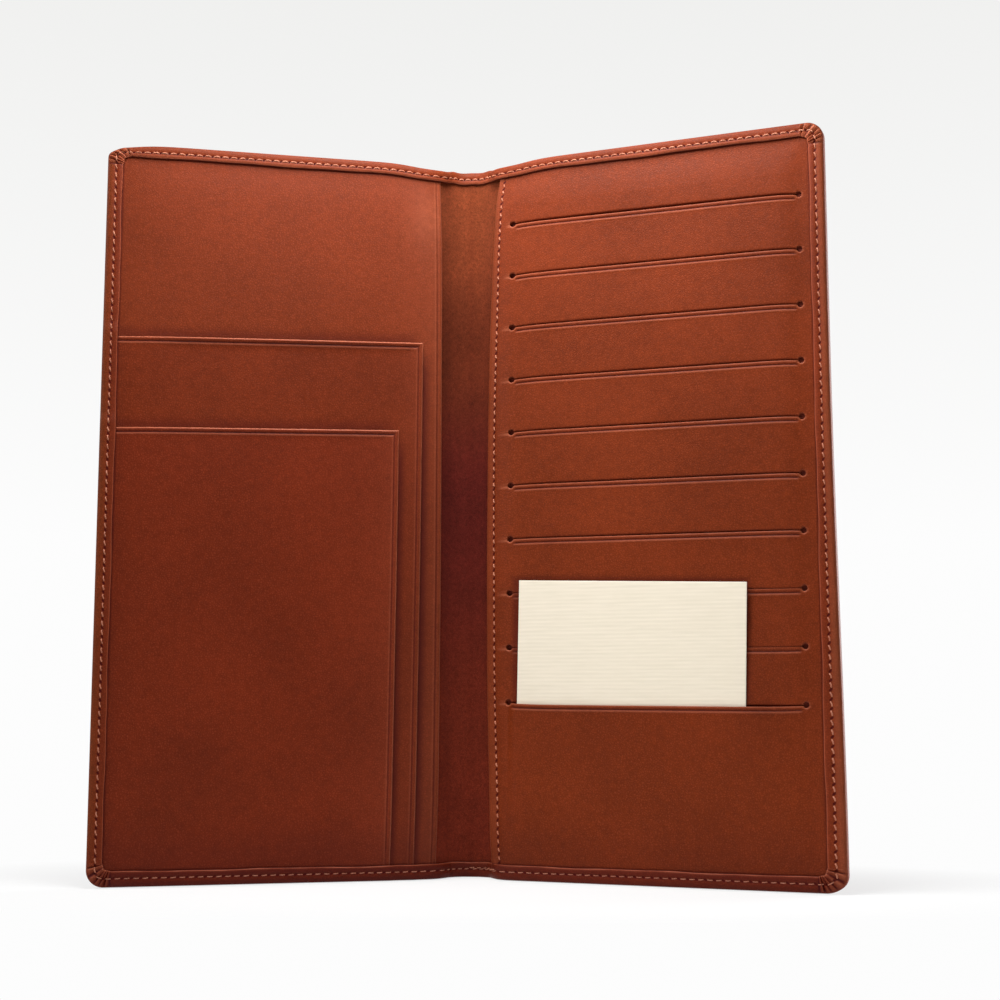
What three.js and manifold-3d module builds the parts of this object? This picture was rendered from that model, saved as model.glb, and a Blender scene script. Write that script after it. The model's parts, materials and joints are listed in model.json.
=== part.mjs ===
// A long travel wallet that folds once down its spine: a leather cover with turned edges, three
// nested document pockets on the left leaf and ten slit card slots on the right leaf.
// Units are millimetres and +Z is up. The wallet stands open as a shallow V that faces -Y.
//
// Every sheet is cut flat first, in three directions: s across from the spine's centre line,
// v up from the bottom edge, and d from the cover's back towards the reader. The flat sheets are
// then bent along the plan curve of the open wallet, as leather is bent after it is cut.
// A left-hand sheet is cut like a right-hand one and mirrored when it is bent.

import * as THREE from 'three';
import { mergeVertices } from 'three/addons/utils/BufferGeometryUtils.js';
import Module from 'manifold-3d';

const wasm = await Module();
wasm.setup();

const { degToRad, clamp } = THREE.MathUtils;

// Cover, laid flat
const COVER_HALF_WIDTH = 114.2;
const COVER_HEIGHT = 220.6;
const COVER_THICKNESS = 0.9;
const CORNER_RADIUS = 5;
const EDGE_ROUNDING = 0.8;
const HEM_WIDTH = 4.5;
const HEM_THICKNESS = 0.8;

// Plan curve of the open wallet, from the spine's centre line outwards
const SPINE_FLAT = 1;
const SPINE_ARC = 8;
const SHOULDER_ARC = 9;
const SPINE_SLOPE = degToRad(50);
const LEAF_SLOPE = degToRad(16.9);

// Layers and the clearances between them
const LAYER_GAP = 0.1;
const EDGE_CLEARANCE = 0.3;
const FOLD_CLEARANCE = 0.25;
const HEM_SETBACK = 1.1;
const STIFFENER_THICKNESS = 0.4;
const STIFFENER_SETBACK = 0.5;
const LINING_THICKNESS = 0.25;

// Document panels of the left leaf: the free edge leans, so it has a top and a bottom value of s,
// and a drop is how far a panel's top lies below the top of the cover
const PANEL_THICKNESS = 0.6;
const TICKET_EDGE = { top: 12.6, bottom: 13.2 };
const BOARDING_EDGE = { top: 18.4, bottom: 19.9 };
const BOARDING_DROP = 58.7;
const PASSPORT_EDGE = { top: 25.2, bottom: 27.5 };
const PASSPORT_DROP = 86.4;

// Slot panel of the right leaf: the slits fill what the margins leave of its width and height
const SLOT_PANEL_THICKNESS = 0.8;
const SLOT_PANEL_EDGE = 10.5;
const TURNED_EDGE_WIDTH = 3;
const SLOT_COUNT = 10;
const SLOT_START = 16.7;
const SLOT_EDGE_MARGIN = 8.5;
const LOWEST_SLOT = 51.9;
const HIGHEST_SLOT_DROP = 20.9;
const SLIT_WIDTH = 0.5;
const STOP_HOLE_RADIUS = 1;

// Creases pressed beside the edges
const CREASE_WIDTH = 0.5;
const CREASE_DEPTH = 0.2;
const PANEL_CREASE_INSET = 1.7;
const SLOT_CREASE_DROP = 1.5;

// Card pockets behind the slot panel
const POCKET_DEPTH = 46.5;
const LINER_OVERLAP = 2;
const LINER_SIDE_MARGIN = 2.4;
const LINER_THICKNESS = 0.15;
const LINER_LEAN = degToRad(1);

// Insert card in the lowest slot
const CARD_WIDTH = 69.5;
const CARD_HEIGHT = 81;
const CARD_THICKNESS = 0.3;
const CARD_TILT = degToRad(1.2);
const CARD_SIDE_MARGIN = 2.75;
const CARD_REST = 0.7;
const CARD_CLEARANCE = 0.15;
const LIP_MARGIN = 0.8;

// Sewing thread, drawn as one flat bead along each seam
const THREAD_WIDTH = 0.5;
const THREAD_HEIGHT = 0.2;
const SEAM_INSET = 2.5;
const GUTTER_SEAM_INSET = 2.2;
const SEAM_END_MARGIN = 0.5;

// Facets of the round forms, and how far a cutter reaches past what it cuts
const CORNER_STEPS = 3;
const ROUNDING_STEPS = 2;
const HOLE_STEPS = 4;
const SPINE_STEPS = 5;
const SHOULDER_STEPS = 4;
const CUTTER_REACH = 3;
const WELD = 1e-3;

const LEATHER = { color: 0x8a3d20, roughness: 0.5, metalness: 0 };
const PANEL_LEATHER = { color: 0x82391d, roughness: 0.52, metalness: 0 };
const LINING_SUEDE = { color: 0x6d2a18, roughness: 0.85, metalness: 0 };
const BOARD = { color: 0x9b8462, roughness: 0.95, metalness: 0 };
const LINER_CLOTH = { color: 0x5a2a1b, roughness: 0.8, metalness: 0 };
const THREAD = { color: 0xb4562d, roughness: 0.7, metalness: 0 };
const CARD_PAPER = { color: 0xf1e7d2, roughness: 0.9, metalness: 0 };

// Places along s and v that follow from the sizes
const FOLD = SPINE_FLAT + SPINE_ARC;
const LEAF_START = FOLD + SHOULDER_ARC;
const SPINE_RADIUS = SPINE_ARC / SPINE_SLOPE;
const SHOULDER_RADIUS = SHOULDER_ARC / (SPINE_SLOPE - LEAF_SLOPE);
const SHEET_INSET = COVER_THICKNESS + EDGE_CLEARANCE;
const SHEET_TOP = COVER_HEIGHT - SHEET_INSET;
const BOARDING_TOP = COVER_HEIGHT - BOARDING_DROP;
const PASSPORT_TOP = COVER_HEIGHT - PASSPORT_DROP;
const SLOT_END = COVER_HALF_WIDTH - SLOT_EDGE_MARGIN;
const SLOT_PITCH = (COVER_HEIGHT - HIGHEST_SLOT_DROP - LOWEST_SLOT) / (SLOT_COUNT - 1);
const POCKET_FLOOR = LOWEST_SLOT - POCKET_DEPTH;
const LINER_HEIGHT = POCKET_DEPTH + LINER_OVERLAP;

// Depths of the layers, from the cover's back
const SPINE_LINING_BACK = COVER_THICKNESS + LAYER_GAP;
const SPINE_LINING_FRONT = SPINE_LINING_BACK + LINING_THICKNESS;
const SPINE_DEPTH = SPINE_LINING_FRONT + LAYER_GAP + HEM_THICKNESS;
const STIFFENER_BACK = COVER_THICKNESS + LAYER_GAP;
const LINING_BACK = STIFFENER_BACK + STIFFENER_THICKNESS + LAYER_GAP;
const LINING_FRONT = LINING_BACK + LINING_THICKNESS;
const PANEL_STEP = PANEL_THICKNESS + LAYER_GAP;
const TICKET_BACK = LINING_FRONT + LAYER_GAP;
const BOARDING_BACK = TICKET_BACK + PANEL_STEP;
const PASSPORT_BACK = BOARDING_BACK + PANEL_STEP;
const LEFT_DEPTH = PASSPORT_BACK + PANEL_STEP + HEM_THICKNESS;
const LINER_ZONE = LINER_HEIGHT * Math.sin(LINER_LEAN) + LINER_THICKNESS + LAYER_GAP;
const SLOT_PANEL_BACK = LINING_FRONT + LAYER_GAP + LINER_ZONE;
const SLOT_PANEL_FRONT = SLOT_PANEL_BACK + SLOT_PANEL_THICKNESS;
const RIGHT_DEPTH = SLOT_PANEL_FRONT + LAYER_GAP + HEM_THICKNESS;

// The card passes from behind the slot panel to its front, so the lip below the slit stands out
const LIP_RISE = SLOT_PANEL_THICKNESS + CARD_THICKNESS + 2 * CARD_CLEARANCE;
const CARD_LEAN = Math.atan2(LIP_RISE, POCKET_DEPTH);
const CARD_LEFT = SLOT_START + CARD_SIDE_MARGIN;
const LIP_LEFT = CARD_LEFT - LIP_MARGIN;
const LIP_RIGHT = CARD_LEFT + CARD_WIDTH + LIP_MARGIN;

// Slope and place of the cover's back at a distance s from the spine's centre line: a flat strip,
// a hollow arc up to the fold line, a shoulder that turns back, and the straight leaf.
function planAt(s) {
  const inSpine = clamp(s - SPINE_FLAT, 0, SPINE_ARC);
  const inShoulder = clamp(s - FOLD, 0, SHOULDER_ARC);
  const inLeaf = Math.max(s - LEAF_START, 0);
  const rise = inSpine / SPINE_RADIUS;
  const slope = rise - inShoulder / SHOULDER_RADIUS;
  const x = Math.min(s, SPINE_FLAT)
    + SPINE_RADIUS * Math.sin(rise)
    + SHOULDER_RADIUS * (Math.sin(rise) - Math.sin(slope))
    + inLeaf * Math.cos(slope);
  const y = SPINE_RADIUS * (Math.cos(rise) - 1)
    - SHOULDER_RADIUS * (Math.cos(slope) - Math.cos(rise))
    - inLeaf * Math.sin(slope);
  return { slope, x, y };
}

// Where a point (s, v, d) of a flat sheet lies on the open wallet; side -1 is the left leaf.
function bentPoint(flat, side) {
  const { slope, x, y } = planAt(Math.abs(flat.x));
  const hand = flat.x < 0 ? -side : side;
  return new THREE.Vector3(
    hand * (x - flat.z * Math.sin(slope)),
    y - flat.z * Math.cos(slope),
    flat.y,
  );
}

// Lines of s where a sheet is divided so that it can bend.
function bendLines() {
  const lines = [];
  for (let i = 0; i <= SPINE_STEPS; i++) {
    const s = SPINE_FLAT + (i * SPINE_ARC) / SPINE_STEPS;
    lines.push(-s, s);
  }
  for (let i = 1; i <= SHOULDER_STEPS; i++) {
    lines.push(FOLD + (i * SHOULDER_ARC) / SHOULDER_STEPS);
  }
  return lines;
}

// A closed three.js geometry as a solid that can be joined and cut.
function solidOf(geometry) {
  geometry.deleteAttribute('normal');
  geometry.deleteAttribute('uv');
  const merged = mergeVertices(geometry);
  return new wasm.Manifold(new wasm.Mesh({
    numProp: 3,
    vertProperties: merged.getAttribute('position').array,
    triVerts: new Uint32Array(merged.index.array),
  }));
}

// Points of an outline, each a little apart from the one before it.
function outlinePoints(path, steps) {
  const points = path.getPoints(steps);
  return points.filter((point, i) => point.distanceTo(points.at(i - 1)) > WELD);
}

function slabGeometry(shape, low, high, steps = CORNER_STEPS) {
  const outline = new THREE.Shape(outlinePoints(shape, steps));
  outline.holes = shape.holes.map((hole) => new THREE.Path(outlinePoints(hole, steps)));
  const settings = { depth: high - low, bevelEnabled: false };
  return new THREE.ExtrudeGeometry(outline, settings).translate(0, 0, low);
}

// A flat sheet between two depths.
function slab(shape, low, high, steps) {
  return solidOf(slabGeometry(shape, low, high, steps));
}

function rectangle(left, right, bottom, top) {
  const shape = new THREE.Shape();
  shape.moveTo(left, bottom);
  shape.lineTo(right, bottom);
  shape.lineTo(right, top);
  shape.lineTo(left, top);
  return shape;
}

// A sheet that starts on a leaning free edge and follows the cover's outline, set in by an inset.
// Below the cover's full height its top outer corner is square.
function sheetShape(inset, edge, top = COVER_HEIGHT - inset) {
  const outer = COVER_HALF_WIDTH - inset;
  const radius = Math.max(CORNER_RADIUS - inset, EDGE_CLEARANCE);
  const shape = new THREE.Shape();
  shape.moveTo(edge.bottom, inset);
  shape.lineTo(outer - radius, inset);
  shape.absarc(outer - radius, inset + radius, radius, -Math.PI / 2, 0);
  if (top < COVER_HEIGHT - inset) {
    shape.lineTo(outer, top);
  } else {
    shape.lineTo(outer, top - radius);
    shape.absarc(outer - radius, top - radius, radius, 0, Math.PI / 2);
  }
  shape.lineTo(edge.top, top);
  return shape;
}

function leafShape(inset, start) {
  return sheetShape(inset, { top: start, bottom: start });
}

// A block of leather whose two rims are rounded: rings of one outline, set in along quarter arcs.
function roundedBlock(outline, depth) {
  const levels = [];
  for (let i = 0; i <= ROUNDING_STEPS; i++) {
    const turn = (i / ROUNDING_STEPS) * (Math.PI / 2);
    const inset = EDGE_ROUNDING * (1 - Math.sin(turn));
    const sink = EDGE_ROUNDING * (1 - Math.cos(turn));
    levels.splice(i, 0, { inset, d: sink }, { inset, d: depth - sink });
  }
  return loft(levels.map(({ inset, d }) => outlinePoints(outline(inset), CORNER_STEPS)
    .map((point) => new THREE.Vector3(point.x, point.y, d))));
}

// A solid between the first and the last of a stack of rings with equal counts of points.
function loft(rings) {
  const count = rings[0].length;
  const position = rings.flat().flatMap((point) => point.toArray());
  const index = [];
  for (let ring = 0; ring < rings.length - 1; ring++) {
    for (let i = 0; i < count; i++) {
      const a = ring * count + i;
      const b = ring * count + ((i + 1) % count);
      index.push(a, b, b + count, a, b + count, a + count);
    }
  }
  const last = (rings.length - 1) * count;
  const flat = rings[0].map((point) => new THREE.Vector2(point.x, point.y));
  for (const [a, b, c] of THREE.ShapeUtils.triangulateShape(flat, [])) {
    index.push(c, b, a, last + a, last + b, last + c);
  }
  const geometry = new THREE.BufferGeometry();
  geometry.setAttribute('position', new THREE.Float32BufferAttribute(position, 3));
  geometry.setIndex(index);
  return solidOf(geometry);
}

// Cutter of a pressed crease, a V groove along the line between two points of a sheet's front.
function crease(from, to, front) {
  const lift = CREASE_DEPTH / 2;
  const half = (CREASE_WIDTH / 2) * (1 + lift / CREASE_DEPTH);
  const profile = new THREE.Shape();
  profile.moveTo(-half, lift);
  profile.lineTo(0, -CREASE_DEPTH);
  profile.lineTo(half, lift);
  const along = new THREE.Vector3(to.x - from.x, to.y - from.y, 0);
  const geometry = slabGeometry(profile, 0, along.length());
  const out = new THREE.Vector3(0, 0, 1);
  const across = out.clone().cross(along.normalize());
  geometry.applyMatrix4(new THREE.Matrix4().makeBasis(across, out, along).setPosition(from.x, from.y, front));
  return solidOf(geometry);
}

// Faces of a solid, each a list of corners.
function facesOf(solid) {
  const { vertProperties, triVerts } = solid.getMesh();
  const corners = Array.from(triVerts, (i) => new THREE.Vector3().fromArray(vertProperties, 3 * i));
  const faces = [];
  for (let i = 0; i < corners.length; i += 3) {
    faces.push(corners.slice(i, i + 3));
  }
  return faces;
}

// The part of a face on one side of a plane.
function clipped(face, offsets, sign) {
  const kept = [];
  face.forEach((corner, i) => {
    const j = (i + 1) % face.length;
    if (sign * offsets[i] > -WELD) {
      kept.push(corner);
    }
    const apart = Math.min(Math.abs(offsets[i]), Math.abs(offsets[j])) >= WELD;
    if (apart && offsets[i] * offsets[j] < 0) {
      const [low, high] = offsets[i] < 0 ? [i, j] : [j, i];
      const share = offsets[low] / (offsets[low] - offsets[high]);
      kept.push(face[low].clone().lerp(face[high], share));
    }
  });
  return kept;
}

// Faces divided along the line where one coordinate (0 for s, 1 for v) has a given value.
function divided(faces, axis, value) {
  return faces.flatMap((face) => {
    const offsets = face.map((corner) => corner.getComponent(axis) - value);
    if (Math.max(...offsets) < WELD || Math.min(...offsets) > -WELD) {
      return [face];
    }
    return [clipped(face, offsets, 1), clipped(face, offsets, -1)];
  });
}

// The bent geometry of a flat sheet; a mirrored sheet has its faces turned round.
function bent(flatFaces, side) {
  let faces = flatFaces;
  for (const line of bendLines()) {
    faces = divided(faces, 0, line);
  }
  const position = [];
  for (const face of faces) {
    const corners = face.map((corner) => bentPoint(corner, side).toArray());
    const turned = side < 0 ? corners.reverse() : corners;
    for (let i = 2; i < turned.length; i++) {
      position.push(...turned[0], ...turned[i - 1], ...turned[i]);
    }
  }
  const geometry = new THREE.BufferGeometry();
  geometry.setAttribute('position', new THREE.Float32BufferAttribute(position, 3));
  const merged = mergeVertices(geometry);
  merged.computeVertexNormals();
  return merged;
}

function meshOf(name, faces, side, look) {
  const mesh = new THREE.Mesh(bent(faces, side), new THREE.MeshStandardMaterial(look));
  mesh.name = name;
  return mesh;
}

function sheet(name, solid, side, look) {
  return meshOf(name, facesOf(solid), side, look);
}

// Outer leather of a leaf: a plate whose three outer edges turn over the inside as a hem.
// Near the fold only the plate is left, so that the hems don't meet when the leaves close.
function leafCover(depth) {
  const start = FOLD + FOLD_CLEARANCE;
  const before = start - CUTTER_REACH;
  const front = depth + CUTTER_REACH;
  const block = roundedBlock((inset) => leafShape(inset, start), depth);
  const inside = slab(leafShape(COVER_THICKNESS, before), COVER_THICKNESS, depth - HEM_THICKNESS);
  const opening = slab(leafShape(HEM_WIDTH, before), COVER_THICKNESS, front);
  const strip = rectangle(before, FOLD + HEM_SETBACK, -CUTTER_REACH, COVER_HEIGHT + CUTTER_REACH);
  const setback = slab(strip, COVER_THICKNESS, front);
  return block.subtract(inside).subtract(opening).subtract(setback);
}

// Outer leather of the spine, hemmed at the top and the bottom.
function spineCover() {
  const half = FOLD - FOLD_CLEARANCE;
  const past = half + CUTTER_REACH;
  const strip = (reach, inset) => rectangle(-reach, reach, inset, COVER_HEIGHT - inset);
  const inside = slab(strip(past, COVER_THICKNESS), COVER_THICKNESS, SPINE_DEPTH - HEM_THICKNESS);
  const opening = slab(strip(past, HEM_WIDTH), COVER_THICKNESS, SPINE_DEPTH + CUTTER_REACH);
  return roundedBlock((inset) => strip(half, inset), SPINE_DEPTH).subtract(inside).subtract(opening);
}

function spineLining() {
  const half = FOLD - FOLD_CLEARANCE;
  return slab(rectangle(-half, half, SHEET_INSET, SHEET_TOP), SPINE_LINING_BACK, SPINE_LINING_FRONT);
}

function leafLining() {
  return slab(leafShape(SHEET_INSET, FOLD + HEM_SETBACK), LINING_BACK, LINING_FRONT);
}

function stiffener() {
  const shape = leafShape(SHEET_INSET, LEAF_START + STIFFENER_SETBACK);
  return slab(shape, STIFFENER_BACK, STIFFENER_BACK + STIFFENER_THICKNESS);
}

// A document panel with a crease beside its free edges. One that is as tall as the cover has its
// top under the hem, so only its gutter edge is creased.
function documentPanel(edge, top, back) {
  const front = back + PANEL_THICKNESS;
  const hemmed = top >= SHEET_TOP;
  const low = new THREE.Vector2(edge.bottom + PANEL_CREASE_INSET, SHEET_INSET - CUTTER_REACH);
  const reach = hemmed ? CUTTER_REACH : -PANEL_CREASE_INSET;
  const corner = new THREE.Vector2(edge.top + PANEL_CREASE_INSET, top + reach);
  const panel = slab(sheetShape(SHEET_INSET, edge, top), back, front)
    .subtract(crease(low, corner, front));
  if (hemmed) {
    return panel;
  }
  const far = new THREE.Vector2(COVER_HALF_WIDTH + CUTTER_REACH, corner.y);
  return panel.subtract(crease(corner, far, front));
}

function slotHeight(index) {
  return LOWEST_SLOT + (SLOT_COUNT - 1 - index) * SLOT_PITCH;
}

// A slit between two round stop holes.
function slit(v) {
  const flare = Math.asin(SLIT_WIDTH / 2 / STOP_HOLE_RADIUS);
  const path = new THREE.Path();
  const neck = STOP_HOLE_RADIUS * Math.cos(flare);
  path.moveTo(SLOT_END - neck, v - SLIT_WIDTH / 2);
  path.absarc(SLOT_END, v, STOP_HOLE_RADIUS, flare - Math.PI, Math.PI - flare);
  path.lineTo(SLOT_START + neck, v + SLIT_WIDTH / 2);
  path.absarc(SLOT_START, v, STOP_HOLE_RADIUS, flare, 2 * Math.PI - flare);
  return path;
}

// The flat slot panel: ten slits, a crease below each, and a turned edge along the gutter.
function flatSlotPanel() {
  const shape = leafShape(SHEET_INSET, SLOT_PANEL_EDGE);
  for (let i = 0; i < SLOT_COUNT; i++) {
    shape.holes.push(slit(slotHeight(i)));
  }
  const turned = rectangle(SLOT_PANEL_EDGE, SLOT_PANEL_EDGE + TURNED_EDGE_WIDTH, SHEET_INSET, SHEET_TOP);
  let panel = slab(shape, SLOT_PANEL_BACK, SLOT_PANEL_FRONT, HOLE_STEPS)
    .add(slab(turned, LINING_FRONT + LAYER_GAP, SLOT_PANEL_FRONT));
  for (let i = 0; i < SLOT_COUNT; i++) {
    const v = slotHeight(i) - SLOT_CREASE_DROP;
    const from = new THREE.Vector2(SLOT_START, v);
    panel = panel.subtract(crease(from, new THREE.Vector2(SLOT_END, v), SLOT_PANEL_FRONT));
  }
  return panel;
}

// How far the lip of the lowest pocket stands out: fully along the card, fading to the slit's ends
// and to the pocket's floor.
function lipRise(s, v) {
  if (v >= LOWEST_SLOT) {
    return 0;
  }
  const left = clamp((s - SLOT_START) / (LIP_LEFT - SLOT_START), 0, 1);
  const right = clamp((SLOT_END - s) / (SLOT_END - LIP_RIGHT), 0, 1);
  const up = clamp((v - POCKET_FLOOR) / POCKET_DEPTH, 0, 1);
  return LIP_RISE * left * right * up;
}

function slotPanel() {
  let faces = facesOf(flatSlotPanel());
  for (const s of [SLOT_START, LIP_LEFT, LIP_RIGHT, SLOT_END]) {
    faces = divided(faces, 0, s);
  }
  for (const v of [POCKET_FLOOR, LOWEST_SLOT]) {
    faces = divided(faces, 1, v);
  }
  return faces.map((face) => face.map((corner) => (
    new THREE.Vector3(corner.x, corner.y, corner.z + lipRise(corner.x, corner.y))
  )));
}

// Back wall of one card pocket: it hangs from just above its slit and leans away behind the walls
// of the pockets below it.
function cardPocket(index) {
  const shape = rectangle(SLOT_START - LINER_SIDE_MARGIN, SLOT_END + LINER_SIDE_MARGIN, -LINER_HEIGHT, 0);
  const geometry = slabGeometry(shape, -LINER_THICKNESS, 0);
  geometry.rotateX(LINER_LEAN);
  geometry.translate(0, slotHeight(index) + LINER_OVERLAP, SLOT_PANEL_BACK - LAYER_GAP);
  return solidOf(geometry);
}

// The card stands on the pocket's floor, a little askew, and leans out through the slit.
function insertCard() {
  const half = CARD_HEIGHT / 2;
  const geometry = slabGeometry(rectangle(-CARD_WIDTH / 2, CARD_WIDTH / 2, -half, half), -CARD_THICKNESS, 0);
  geometry.rotateZ(-CARD_TILT);
  geometry.rotateX(CARD_LEAN);
  const askew = (CARD_WIDTH / 2) * Math.sin(CARD_TILT) + half * Math.cos(CARD_TILT);
  const v = POCKET_FLOOR + CARD_REST + askew * Math.cos(CARD_LEAN);
  const d = SLOT_PANEL_BACK + (v - POCKET_FLOOR) * Math.tan(CARD_LEAN) - CARD_CLEARANCE;
  geometry.translate(CARD_LEFT + CARD_WIDTH / 2, v, d);
  return solidOf(geometry);
}

// Thread along the three hemmed edges of a leaf.
function leafSeam(depth) {
  const start = FOLD + HEM_SETBACK + SEAM_END_MARGIN;
  const low = depth + LAYER_GAP;
  const outside = slab(leafShape(SEAM_INSET - THREAD_WIDTH / 2, start), low, low + THREAD_HEIGHT);
  const within = leafShape(SEAM_INSET + THREAD_WIDTH / 2, start - CUTTER_REACH);
  return outside.subtract(slab(within, depth, low + THREAD_HEIGHT + CUTTER_REACH));
}

// Thread across the spine, centred on a height v.
function spineSeam(v) {
  const half = FOLD - FOLD_CLEARANCE - SEAM_END_MARGIN;
  const low = SPINE_DEPTH + LAYER_GAP;
  const shape = rectangle(-half, half, v - THREAD_WIDTH / 2, v + THREAD_WIDTH / 2);
  return slab(shape, low, low + THREAD_HEIGHT);
}

// Thread along the slot panel's turned edge, between the two hems.
function gutterSeam() {
  const s = SLOT_PANEL_EDGE + GUTTER_SEAM_INSET;
  const end = HEM_WIDTH + SEAM_END_MARGIN;
  const low = SLOT_PANEL_FRONT + LAYER_GAP;
  const shape = rectangle(s - THREAD_WIDTH / 2, s + THREAD_WIDTH / 2, end, COVER_HEIGHT - end);
  return slab(shape, low, low + THREAD_HEIGHT);
}

function spine() {
  const group = new THREE.Group();
  group.add(
    sheet('spine_cover', spineCover(), 1, LEATHER),
    sheet('spine_lining', spineLining(), 1, LINING_SUEDE),
    sheet('spine_bottom_seam', spineSeam(SEAM_INSET), 1, THREAD),
    sheet('spine_top_seam', spineSeam(COVER_HEIGHT - SEAM_INSET), 1, THREAD),
  );
  return group;
}

function leftLeaf() {
  const group = new THREE.Group();
  group.add(
    sheet('left_cover', leafCover(LEFT_DEPTH), -1, LEATHER),
    sheet('left_stiffener', stiffener(), -1, BOARD),
    sheet('left_lining', leafLining(), -1, LINING_SUEDE),
    sheet('ticket_panel', documentPanel(TICKET_EDGE, SHEET_TOP, TICKET_BACK), -1, PANEL_LEATHER),
    sheet('boarding_pass_panel', documentPanel(BOARDING_EDGE, BOARDING_TOP, BOARDING_BACK), -1, PANEL_LEATHER),
    sheet('passport_panel', documentPanel(PASSPORT_EDGE, PASSPORT_TOP, PASSPORT_BACK), -1, PANEL_LEATHER),
    sheet('left_edge_seam', leafSeam(LEFT_DEPTH), -1, THREAD),
  );
  return group;
}

function rightLeaf() {
  const group = new THREE.Group();
  group.add(
    sheet('right_cover', leafCover(RIGHT_DEPTH), 1, LEATHER),
    sheet('right_stiffener', stiffener(), 1, BOARD),
    sheet('right_lining', leafLining(), 1, LINING_SUEDE),
    meshOf('slot_panel', slotPanel(), 1, PANEL_LEATHER),
    sheet('right_edge_seam', leafSeam(RIGHT_DEPTH), 1, THREAD),
    sheet('gutter_seam', gutterSeam(), 1, THREAD),
  );
  for (let i = 0; i < SLOT_COUNT; i++) {
    const number = String(i + 1).padStart(2, '0');
    group.add(sheet(`card_pocket_${number}`, cardPocket(i), 1, LINER_CLOTH));
  }
  return group;
}

// Fold line of the right leaf, on the lining's face, in plan.
function foldPoint() {
  const d = SPINE_LINING_FRONT + LAYER_GAP / 2;
  return bentPoint(new THREE.Vector3(FOLD, 0, d), 1);
}

// Direction in which the card is drawn out of its slot.
function cardDirection() {
  const flat = new THREE.Vector3(0, Math.cos(CARD_LEAN), Math.sin(CARD_LEAN));
  return new THREE.Vector3(-flat.z * Math.sin(LEAF_SLOPE), -flat.z * Math.cos(LEAF_SLOPE), flat.y);
}

const wallet = new THREE.Group();
wallet.name = 'long_bifold_wallet';
wallet.add(spine(), leftLeaf(), rightLeaf(), sheet('insert_card', insertCard(), 1, CARD_PAPER));

// The origin is under the middle of the wallet's box.
const middle = new THREE.Box3().setFromObject(wallet).getCenter(new THREE.Vector3());
wallet.position.set(-middle.x, -middle.y, 0);
wallet.userData = {
  rightFold: foldPoint().add(wallet.position),
  cardDirection: cardDirection(),
};

export default wallet;
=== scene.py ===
# %% [markdown]
# # A long leather wallet, sheet by sheet
# The wallet is a stack of thin leather sheets on a cover whose edges are turned over and sewn.
# The CAD frame holds plain solids with hinges at both sides of the spine and a card that slides.
# This lesson dresses that frame: every sheet gets its rounded rims, pressed creases, pleated
# corners and single stitches.

# %% Load the fixed frame
import json
import math

import bmesh
import bpy
import numpy as np
from mathutils import Matrix, Vector


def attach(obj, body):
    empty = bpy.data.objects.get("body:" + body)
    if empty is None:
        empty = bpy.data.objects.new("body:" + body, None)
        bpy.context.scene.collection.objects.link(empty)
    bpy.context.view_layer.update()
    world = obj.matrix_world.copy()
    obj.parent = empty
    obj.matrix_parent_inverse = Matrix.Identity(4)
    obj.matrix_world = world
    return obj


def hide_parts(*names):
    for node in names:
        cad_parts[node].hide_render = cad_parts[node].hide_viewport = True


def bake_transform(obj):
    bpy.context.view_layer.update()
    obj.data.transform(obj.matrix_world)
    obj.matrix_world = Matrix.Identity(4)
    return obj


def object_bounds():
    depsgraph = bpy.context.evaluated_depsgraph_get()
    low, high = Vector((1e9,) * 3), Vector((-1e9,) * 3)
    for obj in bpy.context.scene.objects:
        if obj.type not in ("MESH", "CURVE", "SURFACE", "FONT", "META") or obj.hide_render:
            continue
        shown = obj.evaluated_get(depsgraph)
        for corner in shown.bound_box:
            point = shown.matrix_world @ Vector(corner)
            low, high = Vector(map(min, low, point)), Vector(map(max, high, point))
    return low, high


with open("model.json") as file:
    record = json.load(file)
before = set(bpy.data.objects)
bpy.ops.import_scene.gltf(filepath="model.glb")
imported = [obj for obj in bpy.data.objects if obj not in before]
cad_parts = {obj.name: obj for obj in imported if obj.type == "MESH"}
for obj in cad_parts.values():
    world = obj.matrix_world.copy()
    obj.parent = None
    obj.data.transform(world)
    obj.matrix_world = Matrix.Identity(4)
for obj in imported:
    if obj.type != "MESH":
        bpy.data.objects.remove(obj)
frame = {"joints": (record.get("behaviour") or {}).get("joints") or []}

cad_low, cad_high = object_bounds()
print("CAD box in mm:", [round(1000 * x, 1) for x in cad_high - cad_low])

# %% [markdown]
# ## One curve for every sheet
# A maker cuts leather flat and bends it afterwards. The lesson does the same. A flat sheet has
# three coordinates in millimetres: s across from the middle of the spine, v up from the bottom
# edge, and d from the outside of the cover towards the reader. One plan curve, a hollow arc at
# the spine, a shoulder and a straight leaf, then carries all sheets to their places, so they
# nest in each other as they do in the frame. Modelling each sheet in place would be harder,
# because nothing would be square.

# %% The plan curve and the bend
MM = 0.001
joints = {joint["name"]: joint for joint in frame["joints"]}
HEIGHT = cad_high.z / MM
SPINE_BACK = cad_high.y / MM
HALF_WIDTH = 114.2
SPINE_FLAT = 1.0
SPINE_ARC = 8.0
SHOULDER_ARC = 9.0
SPINE_SLOPE = math.radians(50)
LEAF_SLOPE = math.radians(-joints["left_fold"]["range_deg"][0])
FOLD = SPINE_FLAT + SPINE_ARC
LEAF_START = FOLD + SHOULDER_ARC
SPINE_RADIUS = SPINE_ARC / SPINE_SLOPE
SHOULDER_RADIUS = SHOULDER_ARC / (SPINE_SLOPE - LEAF_SLOPE)


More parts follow.
